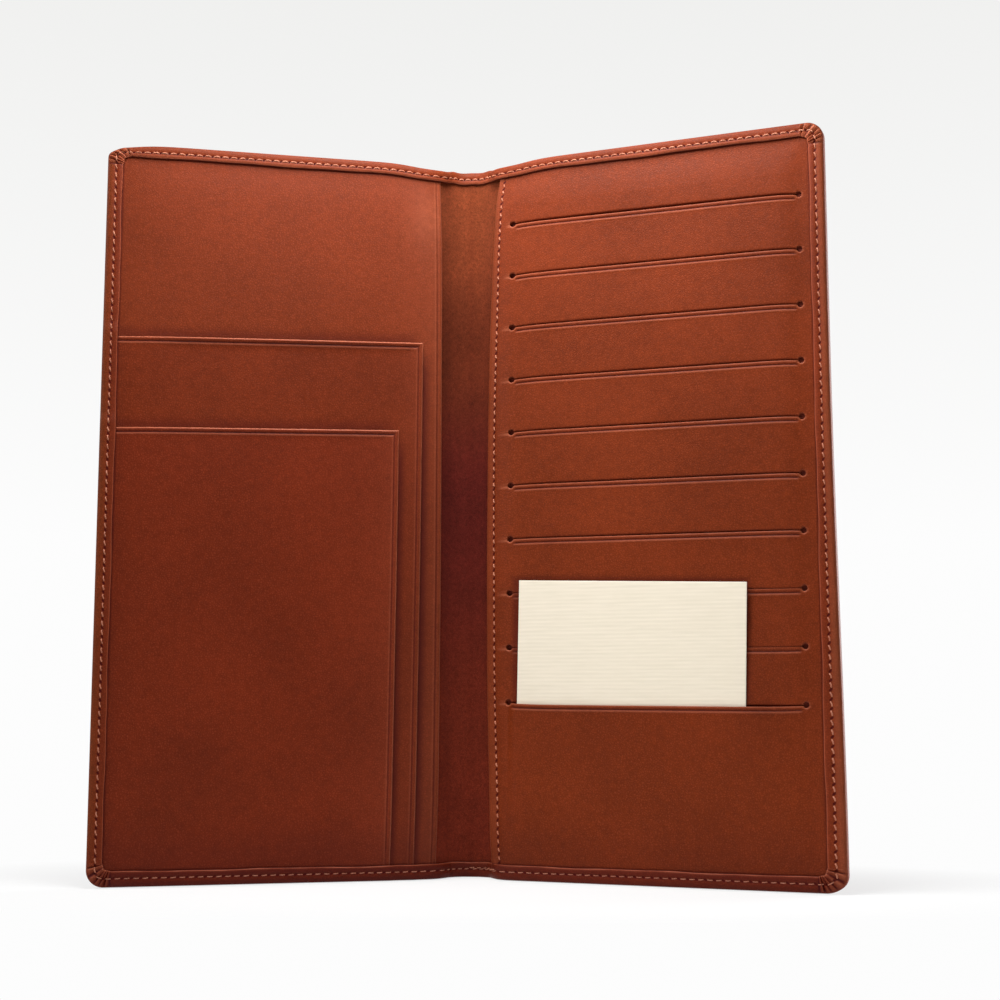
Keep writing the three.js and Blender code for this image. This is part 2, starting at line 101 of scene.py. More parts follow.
def plan(s):
    """Place and slope of the cover's outside at a distance s from the middle of the spine."""
    in_spine = np.clip(s - SPINE_FLAT, 0, SPINE_ARC)
    in_shoulder = np.clip(s - FOLD, 0, SHOULDER_ARC)
    in_leaf = np.maximum(s - LEAF_START, 0)
    rise = in_spine / SPINE_RADIUS
    slope = rise - in_shoulder / SHOULDER_RADIUS
    x = (np.minimum(s, SPINE_FLAT) + SPINE_RADIUS * np.sin(rise)
         + SHOULDER_RADIUS * (np.sin(rise) - np.sin(slope)) + in_leaf * np.cos(slope))
    y = (SPINE_RADIUS * (np.cos(rise) - 1)
         - SHOULDER_RADIUS * (np.cos(slope) - np.cos(rise)) - in_leaf * np.sin(slope))
    return x, y, slope


def smooth(x, start, end):
    """0 before start, 1 after end, with a soft change between."""
    t = np.clip((x - start) / (end - start), 0, 1)
    return t * t * (3 - 2 * t)


def bump(x, middle, width):
    """A soft hump of height 1 round middle."""
    return np.exp(-((x - middle) / width) ** 2)


SPINE_SAG, FOLD_RISE, CORNER_SAG = 1.25, 0.55, 1.6
EDGE_DRAWN_OUT = 1.3


def sunk(s, v, side):
    """How far the used leather has sunk, beside the spine and at the left leaf's upper corner."""
    beside_spine = SPINE_SAG * bump(s, 15, 8.5) - FOLD_RISE * bump(s, 7.4, 2.4)
    at_corner = CORNER_SAG * bump(s, HALF_WIDTH, 10) * smooth(v, HEIGHT - 4.5, HEIGHT)
    return beside_spine * smooth(v, HEIGHT - 12, HEIGHT) + (at_corner if side < 0 else 0)


def spread(s, v, side):
    """How far the right leaf's edge has been drawn out towards its foot."""
    return EDGE_DRAWN_OUT * smooth(s, 108.5, 115) * (1 - smooth(v, 10, 150)) if side > 0 else 0


def bent(flat, side):
    """Flat points (s, v, d) in mm, on the open wallet in metres; side -1 is the left leaf."""
    s, v, d = flat[:, 0], flat[:, 1], flat[:, 2]
    x, y, slope = plan(s + spread(s, v, side))
    across = side * (x - d * np.sin(slope))
    return np.stack([across, SPINE_BACK + y - d * np.cos(slope), v - sunk(s, v, side)], axis=1) * MM


edge_x, edge_y, _ = plan(np.array([HALF_WIDTH]))
print("leaf edge from the spine in mm:", round(edge_x[0], 1), round(edge_y[0], 1))

# %% [markdown]
# ## From points to pieces
# A sheet is kept as a table with one row per point: its flat place and four notes for the
# shader. The notes say how much lighter the leather is there, from rubbing and from painted
# highlight on lit rims; how much darker, from creases, burnish, soil and painted shade; how far
# along a seam it is and how far in from the edge. They are stored on the mesh as attributes, so
# that the finish stays on the leather when the wallet folds.
# Each sheet is closed: a front, a back and walls round every rim, holes included. A Solidify
# modifier could do this too, but then the rims couldn't be shaped one by one.

# %% Tables of points and closed sheets
NOTES = ("wear_and_highlight", "dark_mark_and_shade", "along", "inset")
FAR_FROM_SEAM = 50.0


def points_of(s, v, d, wear_and_highlight=0.0, dark_mark_and_shade=0.0, along=0.0, inset=FAR_FROM_SEAM):
    """A table of points with their notes, from arrays or single numbers."""
    columns = np.broadcast_arrays(s, v, d, wear_and_highlight, dark_mark_and_shade, along, inset)
    return np.stack([np.asarray(column, float).ravel() for column in columns], axis=1)


def grid_faces(rows, columns):
    """Four-sided faces of a grid whose points are listed row by row."""
    i = np.arange(rows * columns).reshape(rows, columns)
    corners = [i[:-1, :-1], i[:-1, 1:], i[1:, 1:], i[1:, :-1]]
    return np.stack(corners, axis=-1).reshape(-1, 4).tolist()


def merged(points, faces):
    """Which points to keep when those at one place become one, and the faces between them."""
    places = np.round(points[:, :3], 4)
    _, kept, new = np.unique(places, axis=0, return_index=True, return_inverse=True)
    new = new.ravel().tolist()
    clean = []
    for face in faces:
        loop = [new[i] for i in face]
        loop = [a for a, b in zip(loop, loop[1:] + loop[:1]) if a != b]
        if len(loop) > 2:
            clean.append(loop)
    return kept, clean


def thickened(front, back, faces):
    """A closed sheet from its front, the back points behind them, and the front's faces."""
    count = len(front)
    edges = dict.fromkeys((a, b) for face in faces for a, b in zip(face, face[1:] + face[:1]))
    walls = [[b, a, a + count, b + count] for a, b in edges if (b, a) not in edges]
    backs = [[i + count for i in reversed(face)] for face in faces]
    return np.vstack([front, back]), faces + backs + walls


def behind(front, thickness):
    """The points of a sheet's back, each a given thickness behind its front."""
    back = front.copy()
    back[:, 2] -= thickness
    back[:, 3:5] = 0
    return back


print("notes on each point:", *NOTES)

# %% Finished pieces
SHARP_ANGLE = math.radians(52)


def piece(name, points, faces, side, material):
    """A smooth-shaded mesh of a bent sheet, with the notes as attributes."""
    mesh = bpy.data.meshes.new(name)
    mesh.from_pydata(bent(points, side).tolist(), [], faces)
    shape = bmesh.new()
    shape.from_mesh(mesh)
    bmesh.ops.recalc_face_normals(shape, faces=shape.faces[:])
    for face in shape.faces:
        face.smooth = True
    shape.to_mesh(mesh)
    shape.free()
    mesh.set_sharp_from_angle(angle=SHARP_ANGLE)
    flat = mesh.attributes.new("flat", "FLOAT_VECTOR", "POINT")
    flat.data.foreach_set("vector", (points[:, :3] * [side, 1, 1]).astype(np.float32).ravel())
    for column, note in enumerate(NOTES, start=3):
        stored = mesh.attributes.new(note, "FLOAT", "POINT")
        stored.data.foreach_set("value", points[:, column].astype(np.float32))
    mesh.materials.append(material)
    made = bpy.data.objects.new(name, mesh)
    bpy.context.scene.collection.objects.link(made)
    print(f"{name}: {len(mesh.vertices)} points, {len(mesh.polygons)} faces")
    return made


def ripple(s, v):
    """Soft unevenness of handled leather, within a tenth of a millimetre."""
    return (0.045 * np.sin(s / 17 + v / 31) + 0.03 * np.sin(s / 9 - v / 13 + 1.3)
            + 0.02 * np.sin(v / 7 + s / 23 + 0.7))


print("edges sharper than", round(math.degrees(SHARP_ANGLE)), "degrees stay sharp")


# %% [markdown]
# ## Shader helpers
# Every finish is a small tree of nodes. A few helpers keep the trees readable: they add a node and
# fill or link its inputs, do arithmetic, mix and scale colours, bring a value into a range and
# make noise or waves.

# %% Helpers for node trees
def fill(made, tree, inputs):
    """Links or sets the inputs of a node; an input given as a socket is linked."""
    for name, value in inputs.items():
        if isinstance(value, bpy.types.NodeSocket):
            tree.links.new(value, made.inputs[name])
        else:
            made.inputs[name].default_value = value


def add(tree, kind, inputs=None, **settings):
    """A new node with its settings and inputs."""
    made = tree.nodes.new(kind)
    for name, value in settings.items():
        setattr(made, name, value)
    fill(made, tree, inputs or {})
    return made


def calculate(tree, operation, a, b=0.0, c=0.0):
    """The result of one Math node."""
    return add(tree, "ShaderNodeMath", {0: a, 1: b, 2: c}, operation=operation).outputs[0]


def mixed(tree, factor, a, b):
    """A mix of two colours."""
    return add(tree, "ShaderNodeMix", {0: factor, 6: a, 7: b}, data_type="RGBA").outputs[2]


def scaled(tree, colour, factor):
    """A colour made darker or lighter by a factor."""
    return add(tree, "ShaderNodeVectorMath", {0: colour, "Scale": factor}, operation="SCALE").outputs[0]


def wave(tree, distance, pitch):
    """A sine wave along a distance."""
    return calculate(tree, "SINE", calculate(tree, "MULTIPLY", distance, 2 * math.pi / pitch))


def ranged(tree, value, low, high, least=0.0, most=1.0, soft=False):
    """A value between low and high, brought to between least and most."""
    kind = "SMOOTHSTEP" if soft else "LINEAR"
    limits = {0: value, 1: low, 2: high, 3: least, 4: most}
    return add(tree, "ShaderNodeMapRange", limits, interpolation_type=kind).outputs[0]


def noise(tree, vector, scale, detail, roughness=0.5):
    """The value of a noise texture."""
    inputs = {"Vector": vector, "Scale": scale, "Detail": detail, "Roughness": roughness}
    return add(tree, "ShaderNodeTexNoise", inputs).outputs["Fac"]


tree_helpers = (add, calculate, mixed, scaled, wave, ranged, noise)
print("tree helpers:", *(helper.__name__ for helper in tree_helpers))


# %% Helpers for groups and materials
def new_group(name, inputs, outputs):
    """An empty shader node group with named sockets; returns its tree, inputs and outputs."""
    tree = bpy.data.node_groups.new(name, "ShaderNodeTree")
    for socket, kind in inputs.items():
        tree.interface.new_socket(socket, in_out="INPUT", socket_type="NodeSocket" + kind)
    for socket, kind in outputs.items():
        tree.interface.new_socket(socket, in_out="OUTPUT", socket_type="NodeSocket" + kind)
    start = tree.nodes.new("NodeGroupInput")
    end = tree.nodes.new("NodeGroupOutput")
    return tree, start.outputs, end.inputs


def place(tree, group, inputs):
    """One use of a shared node group in a material."""
    made = tree.nodes.new("ShaderNodeGroup")
    made.node_tree = group
    fill(made, tree, inputs)
    return made.outputs


def note(tree, name):
    """The number that a mesh stores under a name."""
    return add(tree, "ShaderNodeAttribute", attribute_name=name).outputs["Fac"]


def flat_place(tree):
    """The flat place of a point, in mm, which doesn't change when the sheet bends."""
    return add(tree, "ShaderNodeAttribute", attribute_name="flat").outputs["Vector"]


def flat_axis(tree, axis):
    """One coordinate of the flat place."""
    return add(tree, "ShaderNodeSeparateXYZ", {0: flat_place(tree)}).outputs[axis]


def raised(tree, height, strength, distance):
    """The normal of a surface with a fine relief; distance is the relief's height in mm."""
    inputs = {"Height": height, "Strength": strength, "Distance": distance * MM}
    return add(tree, "ShaderNodeBump", inputs).outputs[0]


def new_material(name, **shader):
    """A material with its Principled shader; the constant values are set on the shader itself."""
    made = bpy.data.materials.new(name)
    made.use_nodes = True
    principled = made.node_tree.nodes["Principled BSDF"]
    for socket, value in shader.items():
        principled.inputs[socket.replace("_", " ")].default_value = value
    return made, made.node_tree, principled


material_helpers = (place, note, flat_axis, raised, new_material)
print("material helpers:", *(helper.__name__ for helper in material_helpers))


# %% [markdown]
# ## Shared effects: grain, wear and needle holes
# Smooth calf has a fine pebbled grain with specks in its tone, because the dye takes unevenly.
# Handled edges turn lighter and creases darker; the same lighter and darker colours also carry
# painted highlight on lit rims and painted shade beside rims, hems and the card. A needle leaves a
# small dark hole at both ends of each stitch. Cover, panels and lining share these effects, so
# each is a node group that is built once and placed in several materials with its own values.

# %% Node group: calf grain
grain, given, result = new_group(
    "calf_grain",
    {"Place": "Vector", "Pebble Scale": "Float", "Cloud Scale": "Float"},
    {"Height": "Float", "Cloud": "Float", "Speck": "Float"},
)
warp = add(grain, "ShaderNodeTexNoise", {"Vector": given["Place"], "Scale": 0.8, "Detail": 2.0})
shifted = add(
    grain, "ShaderNodeVectorMath",
    {0: given["Place"], 1: warp.outputs["Color"]}, operation="ADD",
)
pebbles = add(
    grain, "ShaderNodeTexVoronoi",
    {"Vector": shifted.outputs[0], "Scale": given["Pebble Scale"]}, feature="DISTANCE_TO_EDGE",
)
pebble_tops = ranged(grain, pebbles.outputs["Distance"], 0.0, 0.35, soft=True)
pores = noise(grain, given["Place"], 3.1, 3.0, 0.6)
height = calculate(grain, "MULTIPLY_ADD", pores, 0.8, pebble_tops)
speck = calculate(grain, "MULTIPLY_ADD", pebble_tops, 0.35, pores)
grain.links.new(height, result["Height"])
wide = noise(grain, given["Place"], given["Cloud Scale"], 3.0)
patches = noise(grain, given["Place"], 0.42, 5.0, 0.68)
clouds = calculate(grain, "MULTIPLY", calculate(grain, "ADD", wide, patches), 0.5)
grain.links.new(clouds, result["Cloud"])
grain.links.new(speck, result["Speck"])
print("node group:", grain.name)

# %% Node group: lighter rims and dark grooves, partly painted highlight and shade
CLOUD_SPAN = (0.35, 0.65)
wear_and_painted_light, given, result = new_group(
    "rim_wear_and_painted_light",
    {"Color": "Color", "Light": "Color", "Dark": "Color", "Wear And Highlight": "Float", "Dark Mark And Shade": "Float",
     "Cloud": "Float", "Speck": "Float"},
    {"Color": "Color", "Rubbed": "Float"},
)
cloudy = ranged(wear_and_painted_light, given["Cloud"], *CLOUD_SPAN, 0.8, 1.2)
specked = ranged(wear_and_painted_light, given["Speck"], 0.4, 1.0, 0.8, 1.1)
strength = calculate(wear_and_painted_light, "MULTIPLY", cloudy, specked)
tone = scaled(wear_and_painted_light, given["Color"], strength)
patchy = ranged(wear_and_painted_light, given["Cloud"], *CLOUD_SPAN, 0.7, 1.1)
rubbed_and_lit = calculate(wear_and_painted_light, "MULTIPLY", given["Wear And Highlight"], patchy)
pale_specks = ranged(wear_and_painted_light, given["Speck"], 0.62, 1.0, 0.0, 0.07)
# The Light colour comes in with rubbing and painted highlight, the Dark colour with creases, burnish, soil
# and painted shade.
lightened = mixed(wear_and_painted_light, calculate(wear_and_painted_light, "ADD", rubbed_and_lit, pale_specks), tone, given["Light"])
wear_and_painted_light.links.new(mixed(wear_and_painted_light, given["Dark Mark And Shade"], lightened, given["Dark"]), result["Color"])
wear_and_painted_light.links.new(rubbed_and_lit, result["Rubbed"])
print("node group:", wear_and_painted_light.name)

# %% Node group: needle holes along a seam
SEAM_INSET = 2.5
STITCH_PITCH = 2.6
HOLE_LENGTH, HOLE_WIDTH = 0.68, 0.38
HOLE_SLANT = math.radians(38)
holes, given, result = new_group(
    "needle_holes",
    {"Along": "Float", "Inset": "Float", "Seam Inset": "Float", "Pitch": "Float"},
    {"Hole": "Float"},
)
phase = calculate(holes, "DIVIDE", given["Along"], given["Pitch"])
nearest = calculate(holes, "ROUND", phase)
from_hole = calculate(holes, "MULTIPLY", calculate(holes, "SUBTRACT", phase, nearest), given["Pitch"])
from_seam = calculate(holes, "SUBTRACT", given["Inset"], given["Seam Inset"])
offset = add(holes, "ShaderNodeCombineXYZ", {0: from_hole, 1: from_seam}).outputs[0]
slanted = add(
    holes, "ShaderNodeVectorRotate",
    {"Vector": offset, "Angle": -HOLE_SLANT}, rotation_type="Z_AXIS",
)
oval = add(
    holes, "ShaderNodeVectorMath",
    {0: slanted.outputs[0], 1: (1 / HOLE_LENGTH, 1 / HOLE_WIDTH, 0)}, operation="MULTIPLY",
)
away = add(holes, "ShaderNodeVectorMath", {0: oval.outputs[0]}, operation="LENGTH").outputs["Value"]
holes.links.new(ranged(holes, away, 0.5, 1.1, 1.0, 0.0, soft=True), result["Hole"])
print("node group:", holes.name)

# %% [markdown]
# ## Finishes
# The cover and the panels are the same calf, so one function makes both, with and without a
# seam. The shine is low and broad: waxed leather reflects little, and a strong reflection would
# wash out its red. Suede, thread, cloth, board and paper follow, each with the texture that its
# surface shows at arm's length.

# %% Calf leather
COVER_TONE = (0.17, 0.0235, 0.0045, 1)
TICKET_TONE = (0.166, 0.0238, 0.0048, 1)
BOARDING_TONE = (0.153, 0.02, 0.0036, 1)
PASSPORT_TONE = (0.15, 0.0175, 0.0035, 1)
SLOT_TONE = (0.163, 0.0228, 0.0033, 1)
# CALF_LIGHT is the colour of rubbing and also of painted highlight on lit rims; CALF_DARK is that of
# creases and also of painted shade.
CALF_LIGHT = (0.43, 0.122, 0.06, 1)
CALF_DARK = (0.045, 0.0019, 0.0022, 1)
BURNISHED = (0.06, 0.028, 0.006, 1)
NEEDLE_DARK = (0.055, 0.002, 0.0005, 1)


def hem_dark(tree, dark_mark_and_shade):
    """The cover's dark colour: burnished brown on its outer band, red further in, in deep creases and in
    the bottom hem's painted shade.
    """
    upright = flat_axis(tree, "Y")
    deep = calculate(tree, "MAXIMUM", ranged(tree, dark_mark_and_shade, 0.48, 0.6), ranged(tree, upright, 14.0, 3.0))
    further_in = ranged(tree, note(tree, "inset"), 2.2, 3.0)
    return mixed(tree, calculate(tree, "MAXIMUM", deep, further_in), BURNISHED, CALF_DARK)


def calf(name, tone, seam_inset=None, pitch=STITCH_PITCH, burnished=False):
    """Calf leather with grain, specks, worn rims and, beside a seam, needle holes."""
    made, tree, shader = new_material(name, Specular_IOR_Level=0.09)
    texture = place(tree, grain, {"Place": flat_place(tree), "Pebble Scale": 1.5, "Cloud Scale": 0.03})
    dark_mark_and_shade = note(tree, "dark_mark_and_shade")
    dark = hem_dark(tree, dark_mark_and_shade) if burnished else CALF_DARK
    looks = place(tree, wear_and_painted_light, {
        "Color": tone, "Light": CALF_LIGHT, "Dark": dark, "Wear And Highlight": note(tree, "wear_and_highlight"),
        "Dark Mark And Shade": dark_mark_and_shade, "Cloud": texture["Cloud"], "Speck": texture["Speck"],
    })
    colour, depth = looks["Color"], dark_mark_and_shade
    if seam_inset is not None:
        needle = place(tree, holes, {
            "Along": note(tree, "along"), "Inset": note(tree, "inset"),
            "Seam Inset": seam_inset, "Pitch": pitch,
        })
        colour = mixed(tree, needle["Hole"], colour, NEEDLE_DARK)
        depth = calculate(tree, "MULTIPLY_ADD", needle["Hole"], 0.3, dark_mark_and_shade)
    tree.links.new(colour, shader.inputs["Base Color"])
    dull = ranged(tree, texture["Cloud"], 0.3, 0.7, 0.46, 0.56)
    polished = calculate(tree, "MULTIPLY_ADD", looks["Rubbed"], -0.14, dull)
    tree.links.new(polished, shader.inputs["Roughness"])
    relief = calculate(tree, "MULTIPLY_ADD", depth, -2.0, texture["Height"])
    tree.links.new(raised(tree, relief, 0.35, 0.08), shader.inputs["Normal"])
    return made


GUTTER_INSET = 2.05
GUTTER_PITCH = 2.5
cover_calf = calf("cover_leather", COVER_TONE, SEAM_INSET, burnished=True)
ticket_calf = calf("ticket_leather", TICKET_TONE)
boarding_calf = calf("boarding_pass_leather", BOARDING_TONE)
passport_calf = calf("passport_leather", PASSPORT_TONE)
slot_calf = calf("slot_panel_leather", SLOT_TONE, GUTTER_INSET, GUTTER_PITCH)
print("panel leathers:", ticket_calf.name, boarding_calf.name, passport_calf.name, slot_calf.name)

# %% Suede lining
# The lining's tones by height are painted light and shade: lighter at the top, darker in the shaded
# middle, and lighter again towards the foot.
SUEDE_LIT_FOOT = (0.145, 0.0185, 0.0075, 1)
SUEDE_SHADED = (0.093, 0.0096, 0.0063, 1)
SUEDE_HALF_LIT = (0.108, 0.0175, 0.0056, 1)
SUEDE_LIT_TOP = (0.172, 0.035, 0.0113, 1)
suede, tree, shader = new_material("suede_lining", Roughness=0.95, Specular_IOR_Level=0.1)
texture = place(tree, grain, {"Place": flat_place(tree), "Pebble Scale": 2.4, "Cloud Scale": 0.05})
nap = noise(tree, flat_place(tree), 1.1, 6.0, 0.78)
upright = flat_axis(tree, "Y")
lit_top_share = ranged(tree, upright, 158.0, 214.0, soft=True)
low_tone = mixed(tree, ranged(tree, upright, 110.0, 40.0, soft=True), SUEDE_SHADED, SUEDE_LIT_FOOT)
half_lit_tone = mixed(tree, ranged(tree, upright, 118.0, 160.0, soft=True), low_tone, SUEDE_HALF_LIT)
lining_tone = mixed(tree, lit_top_share, half_lit_tone, SUEDE_LIT_TOP)
nap_colour = scaled(tree, lining_tone, ranged(tree, nap, 0.3, 0.7, 0.66, 1.34))
suede_looks = place(tree, wear_and_painted_light, {
    "Color": nap_colour, "Light": CALF_LIGHT, "Dark": CALF_DARK, "Wear And Highlight": note(tree, "wear_and_highlight"),
    "Dark Mark And Shade": note(tree, "dark_mark_and_shade"), "Cloud": texture["Cloud"], "Speck": texture["Speck"],
})
tree.links.new(suede_looks["Color"], shader.inputs["Base Color"])
tree.links.new(raised(tree, nap, 0.5, 0.1), shader.inputs["Normal"])
print("lining:", suede.name)

# %% Waxed thread
THREAD_SOILED, THREAD_CLEAN = (0.42, 0.13, 0.065, 1), (0.56, 0.21, 0.115, 1)
THREAD_SHADE, THREAD_SOIL_AND_SHADE = (0.16, 0.03, 0.012, 1), (0.12, 0.04, 0.03, 1)
thread, tree, shader = new_material("waxed_thread", Roughness=0.5, Specular_IOR_Level=0.35)
twist = calculate(tree, "MULTIPLY", note(tree, "along"), 9.0)
ply = calculate(tree, "SINE", calculate(tree, "MULTIPLY_ADD", note(tree, "inset"), 2.0, twist))
soiled = noise(tree, flat_place(tree), 0.12, 3.0)
thread_colour = mixed(tree, ranged(tree, soiled, *CLOUD_SPAN), THREAD_SOILED, THREAD_CLEAN)
shaded = mixed(tree, calculate(tree, "MULTIPLY_ADD", ply, -0.15, 0.15), thread_colour, THREAD_SHADE)
# Darker by each stitch's note: soil, and painted shade on the lower stitches.
soiled_and_shaded = mixed(tree, note(tree, "dark_mark_and_shade"), shaded, THREAD_SOIL_AND_SHADE)
tree.links.new(soiled_and_shaded, shader.inputs["Base Color"])
tree.links.new(raised(tree, ply, 0.6, 0.05), shader.inputs["Normal"])
print("thread:", thread.name)

# %% Cream laid paper
WIRE_PITCH = 1.15
PAPER_LOW, PAPER_HIGH = (0.74, 0.67, 0.534, 1), (0.84, 0.76, 0.626, 1)
FIBRE_DRAW = (0.09, 1.0, 1.0)
paper, tree, shader = new_material("laid_paper", Roughness=0.9, Specular_IOR_Level=0.2)
wires = wave(tree, flat_axis(tree, "Y"), WIRE_PITCH)
streaks = add(tree, "ShaderNodeVectorMath", {0: flat_place(tree), 1: FIBRE_DRAW}, operation="MULTIPLY")
pulp = noise(tree, streaks.outputs[0], 1.3, 5.0)
laid = calculate(tree, "MULTIPLY_ADD", calculate(tree, "SUBTRACT", pulp, 0.5), 7.0, wires)
paper_colour = mixed(tree, ranged(tree, laid, -3.0, 3.0), PAPER_LOW, PAPER_HIGH)
tree.links.new(paper_colour, shader.inputs["Base Color"])
tree.links.new(raised(tree, laid, 0.15, 0.02), shader.inputs["Normal"])
print("paper:", paper.name)

# %% Pocket cloth and stiffener board
WEAVE_PITCH = 0.5
CLOTH_DARK, CLOTH_LIGHT = (0.075, 0.011, 0.005, 1), (0.14, 0.019, 0.009, 1)
BOARD_DARK, BOARD_LIGHT = (0.24, 0.16, 0.09, 1), (0.42, 0.31, 0.19, 1)
cloth, tree, shader = new_material("pocket_cloth", Roughness=0.85, Specular_IOR_Level=0.2)
warp_and_weft = [wave(tree, flat_axis(tree, axis), WEAVE_PITCH) for axis in ("X", "Y")]
weave = calculate(tree, "MULTIPLY", *warp_and_weft)
woven_colour = mixed(tree, ranged(tree, weave, -0.8, 0.8), CLOTH_DARK, CLOTH_LIGHT)
tree.links.new(woven_colour, shader.inputs["Base Color"])
tree.links.new(raised(tree, weave, 0.5, 0.05), shader.inputs["Normal"])

board, tree, shader = new_material("stiffener_board", Roughness=0.9, Specular_IOR_Level=0.2)
where = add(tree, "ShaderNodeTexCoord").outputs["Object"]
fibres = noise(tree, where, 900.0, 6.0, 0.65)
tree.links.new(mixed(tree, fibres, BOARD_DARK, BOARD_LIGHT), shader.inputs["Base Color"])
tree.links.new(raised(tree, fibres, 0.4, 0.1), shader.inputs["Normal"])
print("inner finishes:", cloth.name, board.name)

# %% [markdown]
# ## The cover
# On the real wallet one piece of calf goes round the whole outside. Its edge is pared thin, turned
# over the inside layers as a hem and sewn down. At the rounded corners the spare leather is
# gathered into small pleats.
# A hem is a profile that runs round an outline, so the cover is built from rings: each ring is the
# outline at one inset and depth, from the flat back, round the edge, over the hem to its rim.
# The profile rides over the panels beneath, so the hem is low at the spine and climbs over each
# pocket. The leather is made in two halves that meet in the middle of the spine.

# %% How far the layers and the hem lie from the back
HEM_WIDTH = 4.5
HEM_RISE = 0.9
COVER_THICKNESS = 0.9
SPINE_HEM = 2.15
LINING_FRONT = 1.75
TICKET_FRONT, BOARDING_FRONT, PASSPORT_FRONT = 2.45, 3.15, 3.85
SLOT_FRONT = 3.746
BOARDING_TOP, PASSPORT_TOP = 161.9, 134.2
TICKET_EDGE, BOARDING_EDGE, PASSPORT_EDGE = (12.6, 13.2), (17.5, 19.65), (24.4, 26.85)
PINCH = 0.35
PINCH_REACH = 9.5


def pinched(s, v, depth):
    """Depth of a layer, which the seam presses down near the edge."""
    to_edge = np.minimum(HALF_WIDTH - s, np.minimum(v, HEIGHT - v))
    near = 1 - smooth(to_edge, HEM_WIDTH, HEM_WIDTH + PINCH_REACH)
    return depth - PINCH * (depth - LINING_FRONT) * near


def left_hem_front(s, v):
    """The left hem climbs over the lining, the ticket panel and the two lower panels."""
    steps = [(TICKET_EDGE[0], HEIGHT, TICKET_FRONT - LINING_FRONT),
             (BOARDING_EDGE[1], BOARDING_TOP, BOARDING_FRONT - TICKET_FRONT),
             (PASSPORT_EDGE[1], PASSPORT_TOP, PASSPORT_FRONT - BOARDING_FRONT)]
    front = SPINE_HEM + (LINING_FRONT + HEM_RISE - SPINE_HEM) * smooth(s, 8, 11)
    for edge, top, step in steps:
        over = smooth(s, edge - 2.5, edge + 0.3) * (1 - smooth(v, top, top + 4))
        front = front + (1 - PINCH) * step * over
    return front


def right_hem_front(s, v):
    """The right hem climbs once, over the slot panel."""
    over_panel = LINING_FRONT + (1 - PINCH) * (SLOT_FRONT - LINING_FRONT) + HEM_RISE
    return SPINE_HEM + (over_panel - SPINE_HEM) * smooth(s, 7, 14) + 0 * v


for v in (200.0, 50.0):
    fronts = [round(float(front(113.0, v)), 2) for front in (left_hem_front, right_hem_front)]
    print(f"hem front at v={v}:", *fronts)

# %% Where the rings run at a corner
CORNER = 5.0
ANCHOR = 7.0
FAN_LIMIT = 4.4
PLEATS = 6
POINTS_PER_PLEAT = 8


def fan_reach(angle, inset):
    """Distance from a corner's fan point to the outline at an inset, at an angle from one edge."""
    kept = min(inset, FAN_LIMIT)
    shift, radius, straight = ANCHOR - CORNER, CORNER - kept, ANCHOR - kept
    sin, cos = np.sin(angle), np.cos(angle)
    arc = shift * (sin + cos) + np.sqrt(np.maximum(radius ** 2 - shift ** 2 * (1 - 2 * sin * cos), 0))
    first = straight * sin <= shift * cos
    second = straight * cos <= shift * sin
    to_first, to_second = straight / np.maximum(cos, 1e-6), straight / np.maximum(sin, 1e-6)
    found = np.where(first, to_first, np.where(second, to_second, arc))
    return found * (ANCHOR - inset) / (ANCHOR - kept)


def gathered(angle, inset):
    """How much further in the hem's rim lies at a corner, where spare leather fills it slantwise."""
    slant = (ANCHOR - HEM_WIDTH) * math.cos(math.pi / 4) / np.cos(angle - math.pi / 4)
    return 0.45 * smooth(inset, SEAM_INSET + 0.3, HEM_WIDTH) * (fan_reach(angle, HEM_WIDTH) - slant)


turn = np.linspace(0, math.pi / 2, PLEATS * POINTS_PER_PLEAT + 1)
seam_turn = fan_reach(turn, SEAM_INSET)
corner_steps = np.hypot(np.diff(seam_turn * np.sin(turn)), np.diff(seam_turn * np.cos(turn)))
corner_run = np.concatenate([[0], corner_steps.cumsum()])
print("seam round one corner in mm:", round(corner_run[-1], 2))

# %% The path round one half of the cover
columns = np.concatenate([np.arange(0, 20), np.linspace(20, HALF_WIDTH - ANCHOR, 19)])
rows = np.linspace(ANCHOR, HEIGHT - ANCHOR, 37)
fine = STITCH_PITCH / 4


def with_fine_steps(stops, start):
    """Stops along a straight edge, with four points for every stitch between them."""
    first = math.ceil((start + 0.2) / fine) * fine - start
    steps = np.arange(first, stops[-1] - stops[0], fine) + stops[0]
    clear = [x for x in steps if np.abs(stops - x).min() > 0.15]
    return np.sort(np.concatenate([stops, clear]))


def hem_path():
    """Anchor, outward direction, distance along the seam and corner angle of each path point."""
    right, low, high = HALF_WIDTH - ANCHOR, ANCHOR, HEIGHT - ANCHOR
    top = with_fine_steps(columns, 0.0)
    at = right + corner_run[-1]
    down = with_fine_steps(rows - low, at)
    end = at + high - low
    last = end + corner_run[-1]
    across = with_fine_steps(np.sort(right - columns), last)
    zero, one = np.zeros_like, np.ones_like
    parts = [
        (top, 0 * top + high, zero(top), one(top), top, zero(top)),
        (0 * turn + right, 0 * turn + high, np.sin(turn), np.cos(turn), right + corner_run, turn),
        (0 * down + right, high - down, one(down), zero(down), at + down, zero(down)),
        (0 * turn + right, 0 * turn + low, np.cos(turn), -np.sin(turn), end + corner_run, turn),
        (right - across, 0 * across + low, zero(across), -one(across), last + across, zero(across)),
    ]
    return np.concatenate([np.stack(part, axis=1) for part in parts])


path = hem_path()
seam_length = path[-1, 4]
print("seam of one half in mm:", round(seam_length, 1), "in", len(path), "points")

# %% The hem's profile
RIM_LINE = HEM_WIDTH - 0.16
HEM_THICKNESS = 0.8
